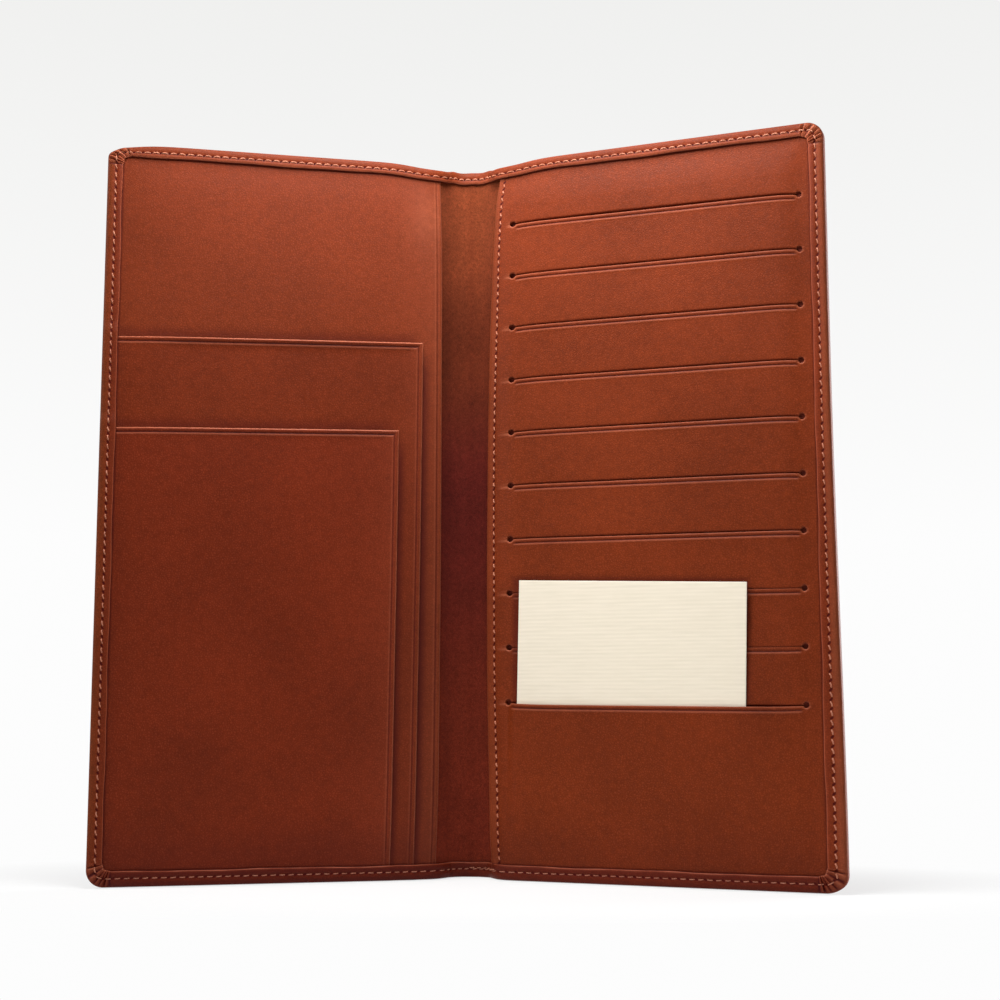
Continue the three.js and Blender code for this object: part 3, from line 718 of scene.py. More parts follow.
# Each row is an inset, 0 for the back or 1 for the front, a depth from there, wear and burnish.
# The lighter rim line is partly painted highlight, and the dark last row, at the hem's foot, is a painted
# shadow line.
OUTSIDE = [
    (ANCHOR, 0, 0, 0, 0), (5.2, 0, 0, 0, 0), (3.6, 0, 0, 0, 0), (SEAM_INSET + 0.4, 0, 0, 0, 0),
    (SEAM_INSET, 0, 0.1, 0, 0), (SEAM_INSET - 0.4, 0, 0, 0, 0), (1.4, 0, 0, 0, 0.05),
    (0.8, 0, 0.06, 0.05, 0.2), (0.35, 0, 0.27, 0.15, 0.3), (0.08, 0, 0.62, 0.1, 0.4), (0, 0, 1.0, 0, 0.45),
    (0, 1, -1.0, 0, 0.45), (0.08, 1, -0.62, 0, 0.45), (0.35, 1, -0.27, 0, 0.43), (0.8, 1, -0.07, 0, 0.4),
    (1.3, 1, 0, 0, 0.3), (SEAM_INSET - 0.6, 1, 0.02, 0, 0.15), (SEAM_INSET - 0.3, 1, -0.04, 0, 0.12),
    (SEAM_INSET, 1, -0.1, 0, 0.15), (SEAM_INSET + 0.3, 1, -0.04, 0, 0.25),
    (SEAM_INSET + 0.6, 1, 0.03, 0, 0.35), (3.7, 1, 0.03, 0, 0.38),
    (HEM_WIDTH - 0.4, 1, -0.04, 0.03, 0.35), (RIM_LINE, 1, -0.15, 0.42, 0.05),
    (HEM_WIDTH, 1, -0.4, 0.05, 0.75),
]
INNER_INSETS = [ANCHOR, 5.2, 3.6, 2.9, 2.5, 2.1, 1.7, 1.3, 1.1, 1.0, 0.95]
INNER_DEPTHS = [COVER_THICKNESS] * 7 + [0.92, 0.95, 1.0, 1.05]
HEM_UNDERSIDE = [(0.95, -1.05), (1.0, -1.0), (1.1, -0.9), (1.3, -0.85), (1.6, -HEM_THICKNESS)]
INSIDE = [(inset, 0, depth) for inset, depth in zip(INNER_INSETS, INNER_DEPTHS)]
INSIDE += [(inset, 1, depth) for inset, depth in HEM_UNDERSIDE]
INSIDE += [(row[0], 1, -HEM_THICKNESS) for row in OUTSIDE[len(INSIDE):]]
PLEAT_HEIGHT = 0.65
BROWNED = {-1: 0.62, 1: 0.3}
OUTER_RIM_LIGHT = {-1: 0.0, 1: 0.22}
PUCKER = 0.09
WOBBLE = 0.1
TOP_NARROWER = 0.55


def pleat_shape(angle):
    """Height of the gathered leather at a corner angle, and the painted shade in its valleys and at the
    corner's end; 0 on the straight edges.
    """
    turned = angle / (math.pi / 2)
    share = (turned * PLEATS + 0.4 * np.sin(7 * turned + 1) * np.sin(math.pi * turned)) % 1
    at_corner = smooth(turned, 0, 0.06) * (1 - smooth(turned, 0.94, 1))
    size = 0.75 + 0.25 * np.sin(17 * turned)
    ridge = at_corner * size * (np.minimum(share * 4, (1 - share) / 0.75) - 0.62)
    valley = at_corner * np.maximum(bump(share, 0, 0.12), bump(share, 1, 0.12))
    return ridge, np.maximum(valley, 0.9 * bump(turned, 0.96, 0.03))


print("rings:", len(OUTSIDE), "outside and", len(INSIDE), "inside")

# %% The rings of the hem
def at_inset(inset, front):
    """Flat places of the path's points at an inset; only the hem is drawn in and wavers."""
    reach = fan_reach(path[:, 5], inset)
    if front:
        waver = np.sin(path[:, 4] / 7.3) + 0.6 * np.sin(path[:, 4] / 3.1 + 1)
        at_rim = smooth(inset, SEAM_INSET + 0.3, HEM_WIDTH)
        narrower = TOP_NARROWER * np.clip(path[:, 3], 0, 1) ** 2
        reach = reach - gathered(path[:, 5], inset) + (narrower - WOBBLE * waver) * at_rim
    return path[:, 0] + reach * path[:, 2], path[:, 1] + reach * path[:, 3]


def ring(inset, front, depth, wear_and_highlight, burnish, side, hem_front):
    """One ring of the cover's outside."""
    s, v = at_inset(inset, front)
    d = front * hem_front(s, v) + depth
    at_hole = 0.5 + 0.5 * np.cos(2 * math.pi * path[:, 4] / STITCH_PITCH)
    pull = PUCKER * bump(inset, SEAM_INSET, 0.5) * (at_hole - 0.35)
    ridge, valley = pleat_shape(path[:, 5])
    reach = front * smooth(inset, 0.1, 0.8) * (1 - 0.6 * smooth(inset, SEAM_INSET, HEM_WIDTH))
    d = d + (-pull if front else pull) + PLEAT_HEIGHT * ridge * reach
    # Painted light and shade on the hem: lighter on the top edge, where the lamp falls, darker on the
    # bottom edge with a broken highlight line on its rim, lighter gathered corners, most on the pleat
    # ridges, and a lighter outer band on the right half's side edge.
    low, high = front * np.clip(-path[:, 3], 0, 1), front * np.clip(path[:, 3], 0, 1)
    at_rim = bump(inset, RIM_LINE, 0.2)
    top_painted_light = high * (smooth(inset, SEAM_INSET + 0.2, SEAM_INSET + 0.8) * 0.2 + 0.3 * at_rim)
    bottom_rim_highlight = low * at_rim * np.clip(0.3 + 0.5 * np.sin(path[:, 4] / 5.3) * np.sin(path[:, 4] / 2.9), 0, 1)
    gathers = smooth(np.sin(2 * path[:, 5]), 0.05, 0.4)
    pleat_ridge_light = reach * gathers * np.clip(0.3 + 1.6 * ridge, 0, 1) * (1 - 0.6 * low)
    outer_rim_light = OUTER_RIM_LIGHT[side] * front * np.clip(path[:, 2], 0, 1) * (1 - smooth(inset, 1.4, SEAM_INSET))
    wear_and_highlight = np.clip(wear_and_highlight + top_painted_light + bottom_rim_highlight + pleat_ridge_light + outer_rim_light, 0, 1)
    plain = BROWNED[side] * (1 - 0.6 * high) * (1 - 0.85 * gathers)
    edge = burnish if inset > HEM_WIDTH - 0.1 else burnish * plain
    dark_mark_and_shade = np.clip(edge + 0.5 * low * (1 - 0.6 * at_rim) + 0.85 * valley * reach, 0, 1)
    return points_of(s, v, d, wear_and_highlight, dark_mark_and_shade, path[:, 4], inset if front else FAR_FROM_SEAM)


def inner_ring(inset, front, depth, hem_front):
    """One ring of the cover's inside, which nothing shows but the hem's underside, painted dark as shade.
    """
    s, v = at_inset(inset, front)
    return points_of(s, v, front * hem_front(s, v) + depth, dark_mark_and_shade=0.9 * front)


print("points in a ring:", len(path))

# %% Faces of the flat back, with the path's fine points along its border
def border_points(axis, other, at):
    """Path points on one straight border, as (place, index) in rising order."""
    on = [i for i in range(len(path)) if abs(path[i, other] - at) < 1e-6]
    return sorted((round(path[i, axis], 4), i) for i in on)


def between(stops, low, high):
    """Indices of the border points strictly between two grid lines."""
    return [k for x, k in stops if low + 0.01 < x < high - 0.01]


def back_faces(first_grid):
    """Cells of the back; a cell on the border takes in the path points along it."""
    top = border_points(0, 1, HEIGHT - ANCHOR)
    low = border_points(0, 1, ANCHOR)
    side = border_points(1, 0, HALF_WIDTH - ANCHOR)
    count = len(columns)
    faces = []
    for j in range(len(rows) - 1):
        for i in range(count - 1):
            a = first_grid + j * count + i
            below = between(low, columns[i], columns[i + 1]) if j == 0 else []
            beside = between(side, rows[j], rows[j + 1]) if i == count - 2 else []
            above = between(top, columns[i], columns[i + 1]) if j == len(rows) - 2 else []
            faces.append([a, *below, a + 1, *beside, a + 1 + count, *reversed(above), a + count])
    return faces


def half_cover(name, side, hem_front):
    """One half of the outer leather, closed, from the middle of the spine to the edge."""
    outside = [ring(*row, side, hem_front) for row in OUTSIDE]
    inside = [inner_ring(*row, hem_front) for row in INSIDE]
    s, v = np.meshgrid(columns, rows)
    first_grid = len(OUTSIDE) * len(path)
    outer = np.vstack(outside + [points_of(s, v, 0.0)])
    inner = np.vstack(inside + [points_of(s, v, COVER_THICKNESS)])
    strips = [face[::-1] for face in grid_faces(len(OUTSIDE), len(path))]
    kept, faces = merged(outer, strips + [face[::-1] for face in back_faces(first_grid)])
    points, faces = thickened(outer[kept], inner[kept], faces)
    return piece(name, points, faces, side, cover_calf)


left_half = half_cover("left_half_cover", -1, left_hem_front)
right_half = half_cover("right_half_cover", 1, right_hem_front)

# %% [markdown]
# ## Pieces in place
# A piece that hangs on no leaf has its transform baked into its mesh; nothing here bends it at the
# hinges.

# %% Baking pieces in place
leaf_bodies = {-1: "left_leaf", 1: "right_leaf"}


def bends(made):
    """Bakes a piece's placement into its mesh; it does not bend the piece."""
    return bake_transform(made)


bends(left_half)
bends(right_half)
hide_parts("left_cover", "spine_cover")
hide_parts("right_cover")

# %% [markdown]
# ## The lining
# A thin suede sheet covers the inside of the cover. It shows only as the dark trough between the
# two leaves, where it follows the spine's hollow. It is made in two halves as the cover is, with
# shallow upright folds where the wallet has been closed many times.

# %% Lining halves
LINING_THICKNESS = 0.25
SPINE_LINING_FRONT = 1.25
SHEET_INSET = 1.2


def tucked(s, v, inset):
    """Points of a sheet's square corners, drawn in to the cover's rounded ones."""
    radius = CORNER - inset
    ds = np.maximum(s - (HALF_WIDTH - CORNER), 0)
    dv = np.maximum(np.abs(v - HEIGHT / 2) - (HEIGHT / 2 - CORNER), 0)
    shrink = np.minimum(1, radius / np.maximum(np.hypot(ds, dv), 1e-6))
    up = np.sign(v - HEIGHT / 2)
    return s - ds * (1 - shrink), v - up * dv * (1 - shrink)


def half_lining(name, side, replaced):
    """One half of the suede, closed."""
    across = np.concatenate([np.arange(0, 20, 0.5), np.linspace(20, HALF_WIDTH - SHEET_INSET, 16)])
    s, v = np.meshgrid(across, np.linspace(SHEET_INSET, HEIGHT - SHEET_INSET, 90))
    s, v = tucked(s, v, SHEET_INSET)
    folds = 0.03 * np.sin(s * 1.3 + 0.5 * np.sin(v / 19)) * smooth(s, 1.5, 4) * (1 - smooth(s, 9, 12))
    d = SPINE_LINING_FRONT + (LINING_FRONT - SPINE_LINING_FRONT) * smooth(s, 9.5, 13.5) + folds
    front = points_of(s, v, d, dark_mark_and_shade=0.1 * (1 - smooth(s, 0, 1.4)))
    points, faces = thickened(front, behind(front, LINING_THICKNESS), grid_faces(*s.shape))
    made = bends(piece(name, points, faces, side, suede))
    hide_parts(*replaced)
    return made


half_lining("left_half_lining", -1, ["left_lining", "spine_lining"])
half_lining("right_half_lining", 1, ["right_lining"])

# %% [markdown]
# ## Document panels
# Three leather panels make the pockets of the left leaf. Each has rims that are cut clean and
# rubbed round, and a crease pressed a little inside the rim with a hot iron, which stiffens it.
# A grid with close lines at the rim can carry both: the rim's rounding and the crease are a
# profile of the distance to the nearest free edge, so they turn the corner by themselves.
# Hand work isn't square: the free edges bow a little, the upper edges fall towards the sewn side,
# and a free edge stands off the layer behind it, which gives it its shadow; beside and above the
# rims that shadow is also painted onto the layer behind, as painted shade. The front panel is
# pressed flatter at its top, where it meets a card that has been left half out.

# %% Rims and creases
PANEL_THICKNESS = 0.6
CREASE_INSET, CREASE_WIDTH, CREASE_DEPTH = 1.35, 0.18, 0.17
RIM_STEPS = np.concatenate([
    [0, 0.05, 0.14, 0.26, 0.4, 0.6, 0.85, 1.05],
    [1.2, 1.35, 1.5, 1.65, 1.8, 1.95, 2.15, 2.5],
    np.arange(2.9, 9, 0.45),
])


def rim_profile(distance, top_lit):
    """Depth, lighter lines (partly painted highlight) and darkness of a rim and its crease, by distance
    from the free edge.
    """
    rounding = -0.26 * np.clip(1 - distance / 0.45, 0, 1) ** 2
    crease = bump(distance, CREASE_INSET, CREASE_WIDTH) * (0.5 + 0.5 * top_lit)
    swell = 0.06 * bump(distance, 0.6, 0.35) + 0.05 * bump(distance, 1.85, 0.2)
    wear_and_highlight = (0.4 + 0.6 * top_lit) * bump(distance, 0.12, 0.2) + 0.6 * top_lit * bump(distance, 1.85, 0.16)
    return rounding - CREASE_DEPTH * crease + swell, np.clip(wear_and_highlight, 0, 1), 0.8 * crease


print("crease inside the rim in mm:", CREASE_INSET)

# %% Where the panels of the left leaf end
FULL_TOP = HEIGHT - SHEET_INSET
OUTER = HALF_WIDTH - SHEET_INSET
TICKET = {
    "edge": TICKET_EDGE, "bow": 0.5, "top": FULL_TOP, "fall": 0.0, "pressed": 0.0, "painted_edge_light": 1.0,
}
BOARDING = {
    "edge": BOARDING_EDGE, "bow": 0.45, "top": BOARDING_TOP, "fall": 0.022, "pressed": 0.0, "painted_edge_light": 0.5,
}
PASSPORT = {
    "edge": PASSPORT_EDGE, "bow": 0.25, "top": PASSPORT_TOP, "fall": 0.022, "pressed": 0.5, "painted_edge_light": 0.5,
}


def free_edge(panel, v):
    """Where a panel's free edge lies; its line is given at the top and the bottom of the wallet."""
    above, below = panel["edge"]
    return below + (above - below) * v / HEIGHT - panel["bow"] * np.sin(math.pi * v / HEIGHT)


def top_edge(panel, s):
    """How high a panel reaches; fall is how much its top drops for each mm towards the hem."""
    middle = (free_edge(panel, panel["top"]) + OUTER) / 2
    return panel["top"] - panel["fall"] * (s - middle)


def painted_shadow_behind(panel, s, v):
    """Painted shadow on a layer beside and above the rims of the panel in front of it."""
    beside = free_edge(panel, v) - s
    above = v - top_edge(panel, s)
    at_side = np.where(beside > 0, 1 - smooth(beside, 0.3, 3.0), 0) * smooth(-above, 0, 10)
    over_top = np.where(above > 0, 1 - smooth(above, 0.2, 4.5), 0) * smooth(-beside, 0, 5)
    return np.maximum(0.6 * at_side, 0.42 * over_top)


half_way = [round(float(free_edge(panel, 110)), 2) for panel in (TICKET, BOARDING, PASSPORT)]
print("free edges half way up:", *half_way)

# %% Panels of the left leaf
EDGE_LIFT, LIFT_REACH = 0.75, 3.0
NEAR_HEM = np.array([9.5, 7.5, 6.2, 5.5, 5.1, 4.8, 4.5, 4.1, 3.4, 2.3, SHEET_INSET])


def painted_hem_shade(s, v, foot_shade):
    """Painted shade: a dark line along the hem's foot, and a leaf darker towards its foot."""
    to_edge = np.minimum(HALF_WIDTH - s, np.minimum(v, HEIGHT - v + TOP_NARROWER))
    line = 0.6 * (1 - smooth(to_edge, HEM_WIDTH + 0.1, HEM_WIDTH + 0.6))
    return np.maximum(line, foot_shade * (1 - smooth(v, HEM_WIDTH, 24)))


def heights_of(panel, in_front):
    """Heights of a panel's grid rows from the top down, close at rims, hems and above the next panel."""
    top = panel["top"]
    upper = top - RIM_STEPS if top < FULL_TOP else HEIGHT - NEAR_HEM[::-1]
    stops = [in_front["top"] + np.arange(-1.4, 5.5, 0.6)] if in_front else []
    plain = np.linspace(12, upper[-1] - 2, 40)
    if in_front:
        plain = plain[np.abs(plain - in_front["top"] - 2) > 4]
    return np.sort(np.concatenate([upper, plain, NEAR_HEM, *stops]))[::-1]


def document_panel(name, node, panel, front, leather, in_front=None):
    """A panel of the left leaf."""
    top, free_top = panel["top"], panel["top"] < FULL_TOP
    heights = heights_of(panel, in_front)[:, None]
    start = free_edge(panel, heights)
    near = start + RIM_STEPS
    far = np.linspace(0, 1, 20)[1:-1] * (HALF_WIDTH - NEAR_HEM[0] - near[:, -1:]) + near[:, -1:]
    s = np.hstack([near, far, HALF_WIDTH - NEAR_HEM + 0 * start])
    from_side = s - start
    from_top = top - heights + (0 if free_top else FAR_FROM_SEAM) + 0 * s
    # Top rims face the lamp, so they get the stronger painted highlight lines and creases.
    top_lit = 0.3 + 0.7 * smooth(from_side - from_top, -0.2, 0.2)
    depth, wear_and_highlight, dark_mark_and_shade = rim_profile(np.minimum(from_side, from_top), top_lit)
    v = heights + (top_edge(panel, s) - top) * (heights - SHEET_INSET) / (top - SHEET_INSET)
    to_hem = np.minimum(np.minimum(v, HEIGHT - v), HALF_WIDTH - s) - HEM_WIDTH
    lift = EDGE_LIFT * bump(np.minimum(from_side, 1.6 * from_top), 0, LIFT_REACH) * smooth(to_hem, 0, 25)
    lift = lift * (1 - panel["pressed"] * smooth(v, top - 22, top - 8))
    # Painted shade on this panel: the shadow of the panel in front, a line along the hem, a darker foot,
    # and a darker strip near the spine towards the foot.
    if in_front:
        dark_mark_and_shade = np.maximum(dark_mark_and_shade, painted_shadow_behind(in_front, s, v))
    dark_mark_and_shade = np.maximum(dark_mark_and_shade * (1 - 0.65 * smooth(v, 165, 205)), painted_hem_shade(s, v, 0.22))
    dark_mark_and_shade = np.clip(dark_mark_and_shade + 0.2 * (1 - smooth(v, 95, 175)) * (1 - smooth(s, 16, 32)), 0, 1)
    s, v = tucked(s, v, SHEET_INSET)
    d = pinched(s, v, front) + depth + ripple(s, v) + lift
    # Painted light: a lighter strip along the free edge, where light from the left would fall, and a
    # lighter patch high up beside the spine.
    painted_edge_light = 0.14 * np.exp(-from_side / 9) * panel["painted_edge_light"]
    painted_edge_light = painted_edge_light + 0.16 * bump(s, 17, 5) * bump(v, 203, 9)
    front_points = points_of(s, v, d, np.clip(wear_and_highlight + painted_edge_light, 0, 1), dark_mark_and_shade)
    points, faces = thickened(front_points, behind(front_points, PANEL_THICKNESS), grid_faces(*s.shape))
    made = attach(piece(name, points, faces, -1, leather), "left_leaf")
    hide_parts(node)
    return made


document_panel("ticket_pocket", "ticket_panel", TICKET, TICKET_FRONT, ticket_calf, BOARDING)
document_panel(
    "boarding_pass_pocket", "boarding_pass_panel", BOARDING, BOARDING_FRONT, boarding_calf, PASSPORT,
)
document_panel("passport_pocket", "passport_panel", PASSPORT, PASSPORT_FRONT, passport_calf)

# %% [markdown]
# ## The slot panel
# The right leaf is one sheet with ten slits. A slit ends in a round punched hole so that it can't
# tear, the leather below it stands out a little from many cards, and a crease is pressed under
# it. A Boolean cut would leave long thin faces round the holes. Here the sheet is made of bands
# between the slits instead: a band's rims follow the slit's outline, straight along the slit and
# round at its holes, and where there is no slit the bands share their points and become one sheet.
# The sheet is drawn square and then laid as it was sewn: its gutter edge bows, and the rows of
# slits lean by half a degree.

# %% Outline of the slits
SLOT_THICKNESS = 0.8
SLOT_EDGE = 10.5
SLOT_COUNT = 10
SLOT_START, SLOT_END = 16.7, 105.7
LOWEST_SLOT = 51.9
HIGHEST_SLOT = 199.7
SLOT_PITCH = (HIGHEST_SLOT - LOWEST_SLOT) / (SLOT_COUNT - 1)
HOLE_RADIUS = 0.82


def slit_share(s):
    """0 at the ends of a slit, 1 along most of it."""
    middle, half = (SLOT_START + SLOT_END) / 2, (SLOT_END - SLOT_START) / 2
    return 1 - np.clip(np.abs(s - middle) / half, 0, 1) ** 10


def half_opening(s, gape):
    """Half the height of a slit at s: a circle at each end and a narrow gap between, half of it gape."""
    left = np.sqrt(np.maximum(HOLE_RADIUS ** 2 - (s - SLOT_START) ** 2, 0))
    right = np.sqrt(np.maximum(HOLE_RADIUS ** 2 - (s - SLOT_END) ** 2, 0))
    along = (s > SLOT_START) & (s < SLOT_END)
    middle = 1 - ((s - (SLOT_START + SLOT_END) / 2) / (SLOT_END - SLOT_START) * 2) ** 2
    gap = np.where(along, gape * (0.7 + 0.3 * middle), 0)
    return np.maximum(np.maximum(left, right), gap)


circle = HOLE_RADIUS * np.cos(np.radians([180, 160, 140, 120, 105, 90, 75, 60, 40, 25, 10]))
slot_columns = np.concatenate([
    SLOT_EDGE + np.array([0, 0.05, 0.15, 0.32, 0.6, 0.95, 1.35, 1.75]),
    SLOT_EDGE + np.array([2.05, 2.35, 2.65, 2.9, 3.15, 3.4, 3.8]),
    SLOT_START + circle, [18.1, 18.7, 19.7, 21, 23],
    np.linspace(25, 97, 25), [99, 101, 102.6, 103.7, 104.3],
    SLOT_END - circle[::-1], [107.2], HALF_WIDTH - NEAR_HEM[2:],
])
print("slot panel columns:", len(slot_columns), "narrowest", round(np.diff(slot_columns).min(), 3), "mm")

# %% The panel as it was sewn
SLIT_LEAN = math.tan(math.radians(0.55))
LEAN_MIDDLE = (61.0, 110.0)
GUTTER_NARROWEST, GUTTER_TOP, GUTTER_FOOT = 8.65, 4.05, 1.2


def gutter_edge(v):
    """Where the sewn panel's gutter edge lies at a height."""
    upper = np.clip((v - 85) / 127, 0, None) ** 2.5
    return GUTTER_NARROWEST + GUTTER_TOP * upper + GUTTER_FOOT * (1 - smooth(v, 8, 70))


def seam_shift(v):
    """How much further in than its inset at the top the gutter seam runs."""
    return (0.75 + 0.4 * (1 - smooth(v, 70, 150))) * (1 - smooth(v, 165, 205))


def as_sewn(s, v):
    """Where a point of the square drawing lies on the sewn panel."""
    inside = smooth(np.minimum(v, HEIGHT - v), SHEET_INSET, 15) * (1 - smooth(s, 106.8, HALF_WIDTH - 2))
    beyond = smooth(s, SLOT_EDGE + 3.8, SLOT_START - HOLE_RADIUS)
    lean = inside * SLIT_LEAN
    shift = (gutter_edge(v) - SLOT_EDGE) * (1 - beyond) + lean * (v - LEAN_MIDDLE[1]) * beyond
    return s + shift, v - lean * (s - LEAN_MIDDLE[0])


print("gutter edge at the top, middle and bottom:", *(round(gutter_edge(v), 1) for v in (215, 110, 5)))

# %% Rims, lips and creases of the bands
BELOW_SLIT = np.array([
    0, 0.05, 0.15, 0.3, 0.48, 0.7, 0.9, 1.06, 1.2, 1.34, 1.48, 1.64, 1.8, 2.05, 2.6, 3.6, 5.0, 6.8, 8.8,
])
ABOVE_SLIT = np.array([6.6, 5.5, 4.6, 3.6, 2.6, 1.8, 1.0, 0.55, 0.28, 0.12, 0.04, 0])
SLIT_CREASE = 1.2
LIP_RISE = 1.4
LIP_LEFT, LIP_RIGHT = 18.65, 89.75
POCKET_FLOOR = 5.4


def card_bulge(s, v):
    """The lip of the lowest pocket stands out to let the card through."""
    left = np.clip((s - SLOT_START) / (LIP_LEFT - SLOT_START), 0, 1)
    right = smooth(SLOT_END - s, 0, SLOT_END - LIP_RIGHT)
    up = np.clip((v - POCKET_FLOOR) / (LOWEST_SLOT - POCKET_FLOOR), 0, 1)
    return LIP_RISE * left * right * up


def lip_profile(from_slit, in_slit, along):
    """Depth, lighter lines (partly painted highlight) and darkness of the leather below a slit."""
    crease = bump(from_slit, SLIT_CREASE, CREASE_WIDTH) * along
    rounding = -0.2 * in_slit * np.clip(1 - from_slit / 0.35, 0, 1) ** 2
    swell = 0.14 * np.exp(-from_slit / 2.2) + 0.06 * bump(from_slit, 1.7, 0.25)
    depth = rounding + along * swell - CREASE_DEPTH * crease
    wear_and_highlight = 0.32 * in_slit * bump(from_slit, 0.2, 0.26) + 0.5 * along * bump(from_slit, 1.66, 0.17)
    shade = 0.2 * along * smooth(from_slit, 0.45, 0.7) * (1 - smooth(from_slit, 1.2, 1.4))
    return depth, wear_and_highlight, np.maximum(0.75 * crease, shade)


def hole_rim_light(s, v, slit):
    """A lighter ring round the two stop holes of a slit, partly rubbing and partly painted highlight."""
    to_hole = np.minimum(np.hypot(s - SLOT_START, v - slit), np.hypot(s - SLOT_END, v - slit))
    return bump(to_hole, HOLE_RADIUS + 0.14, 0.2)


def gutter_profile(from_gutter, to_seam):
    """Depth and wear of the turned gutter edge, from its fold to beyond its seam."""
    fold = -0.7 * np.clip(1 - from_gutter / 0.7, 0, 1) ** 2
    valley = -0.16 * bump(to_seam, 0, 0.3)
    rubbed_and_lit = 0.42 * bump(from_gutter, 0.25, 0.3) + 0.1 * smooth(to_seam, 0, 0.5)
    return fold + valley + 0.12 * bump(from_gutter, 1.2, 0.7), rubbed_and_lit


print("rows of points between two slits:", len(BELOW_SLIT) + len(ABOVE_SLIT))

# %% Room for the card
CARD_TOP = 88.9
CARD_WIDTH, CARD_HEIGHT = 69.5, 81.0
CARD_LEFT, CARD_CLEARANCE = 18.5, 0.15
CARD_TILT = math.radians(2.0)
CARD_LEAN = math.atan2(LIP_RISE, LOWEST_SLOT - POCKET_FLOOR)
LEFT_MARGIN, RIGHT_MARGIN = 0.4, 3.4
LEAST_THICKNESS = 0.12


def card_front(v):
    """Depth of the leaning card's front at a height."""
    return SLOT_FRONT - SLOT_THICKNESS + (v - POCKET_FLOOR) * math.tan(CARD_LEAN) - CARD_CLEARANCE


def clear_of_card(back, front):
    """The panel's back, pressed clear of the card that stands behind it in the lowest pocket."""
    s, v = back[:, 0], back[:, 1]
    card_edge = CARD_LEFT + (v - POCKET_FLOOR - CARD_HEIGHT / 2) * math.tan(CARD_TILT)
    held = (s > card_edge - LEFT_MARGIN) & (s < card_edge + CARD_WIDTH + RIGHT_MARGIN) & (v < LOWEST_SLOT)
    pressed = np.maximum(back[:, 2], card_front(v) + CARD_CLEARANCE / 2)
    back[:, 2] = np.where(held, np.minimum(pressed, front[:, 2] - LEAST_THICKNESS), back[:, 2])
    return back


def painted_card_shadow(s, v):
    """Painted shade under the card and its painted shadow round it, on the panel behind."""
    top = CARD_TOP - 0.035 * (s - LIP_LEFT)
    outside = np.maximum(np.maximum(LIP_LEFT - 0.3 - s, s - LIP_RIGHT + 1.2), v - top)
    return 0.5 * (1 - smooth(outside, 0, 2.2)) * smooth(v, LOWEST_SLOT, LOWEST_SLOT + 1)


print("card leans by", round(math.degrees(CARD_LEAN), 2), "degrees")

# %% One band of the panel
def band(top, bottom, gape_above, gape_below, rise_above, rise_below, lowest):
    """Front points of the leather between two slits; a gape of None is an edge without a slit."""
    s = slot_columns[None, :]
    above, below = gape_above is not None, gape_below is not None
    open_above = half_opening(s, gape_above) if above else 0 * s
    open_below = half_opening(s, gape_below) if below else 0 * s
    upper = top - open_above + rise_above * slit_share(s)
    lower = bottom + open_below + rise_below * slit_share(s)
    pitch = top - bottom
    near = BELOW_SLIT if above else NEAR_HEM[::-1] - SHEET_INSET
    to_foot = np.concatenate([np.linspace(pitch - 12, 14, 7), NEAR_HEM]) - SHEET_INSET
    last = pitch - (ABOVE_SLIT if below else to_foot)
    v = upper + (lower - upper) * np.concatenate([near, last])[:, None] / pitch
    from_top, from_low = upper - v, v - lower
    along = smooth(s, SLOT_START + 0.8, SLOT_START + 1.6) * (1 - smooth(s, SLOT_END - 1.6, SLOT_END - 0.8))
    depth, wear_and_highlight, dark_mark_and_shade = 0 * v, 0 * v, 0 * v
    if above:
        depth, wear_and_highlight, dark_mark_and_shade = lip_profile(from_top, smooth(open_above, 0, 0.12), along)
        wear_and_highlight = np.maximum(wear_and_highlight, 0.55 * hole_rim_light(s, v, top))
    if below:
        in_slit = smooth(open_below, 0, 0.12)
        rounding = 0.22 * in_slit * np.clip(1 - from_low / 0.4, 0, 1) ** 2
        depth = depth - rounding - 0.05 * along * np.exp(-from_low / 1.5)
        # Painted shade along the leather just above a slit.
        dark_mark_and_shade = dark_mark_and_shade + 0.35 * in_slit * bump(from_low, 0, 0.3)
        wear_and_highlight = np.maximum(wear_and_highlight, 0.2 * hole_rim_light(s, v, bottom))
    if lowest:
        depth = depth + card_bulge(s, v)
    from_gutter = s - SLOT_EDGE + 0 * v
    seam_inset = from_gutter - seam_shift(v)
    fold, rubbed_and_lit = gutter_profile(from_gutter, GUTTER_INSET - seam_inset)
    s, v = as_sewn(s + 0 * v, v)
    s, v = tucked(s, v, SHEET_INSET)
    # Painted shade along the hem and the card's painted shadow.
    dark_mark_and_shade = np.maximum(dark_mark_and_shade, np.maximum(painted_hem_shade(s, v, 0.15), painted_card_shadow(s, v)))
    d = pinched(s, v, SLOT_FRONT) + depth + fold + ripple(s, v)
    table = points_of(s, v, d, np.clip(wear_and_highlight + rubbed_and_lit, 0, 1), dark_mark_and_shade, v, seam_inset)
    return table, v.shape[0], from_gutter.ravel()


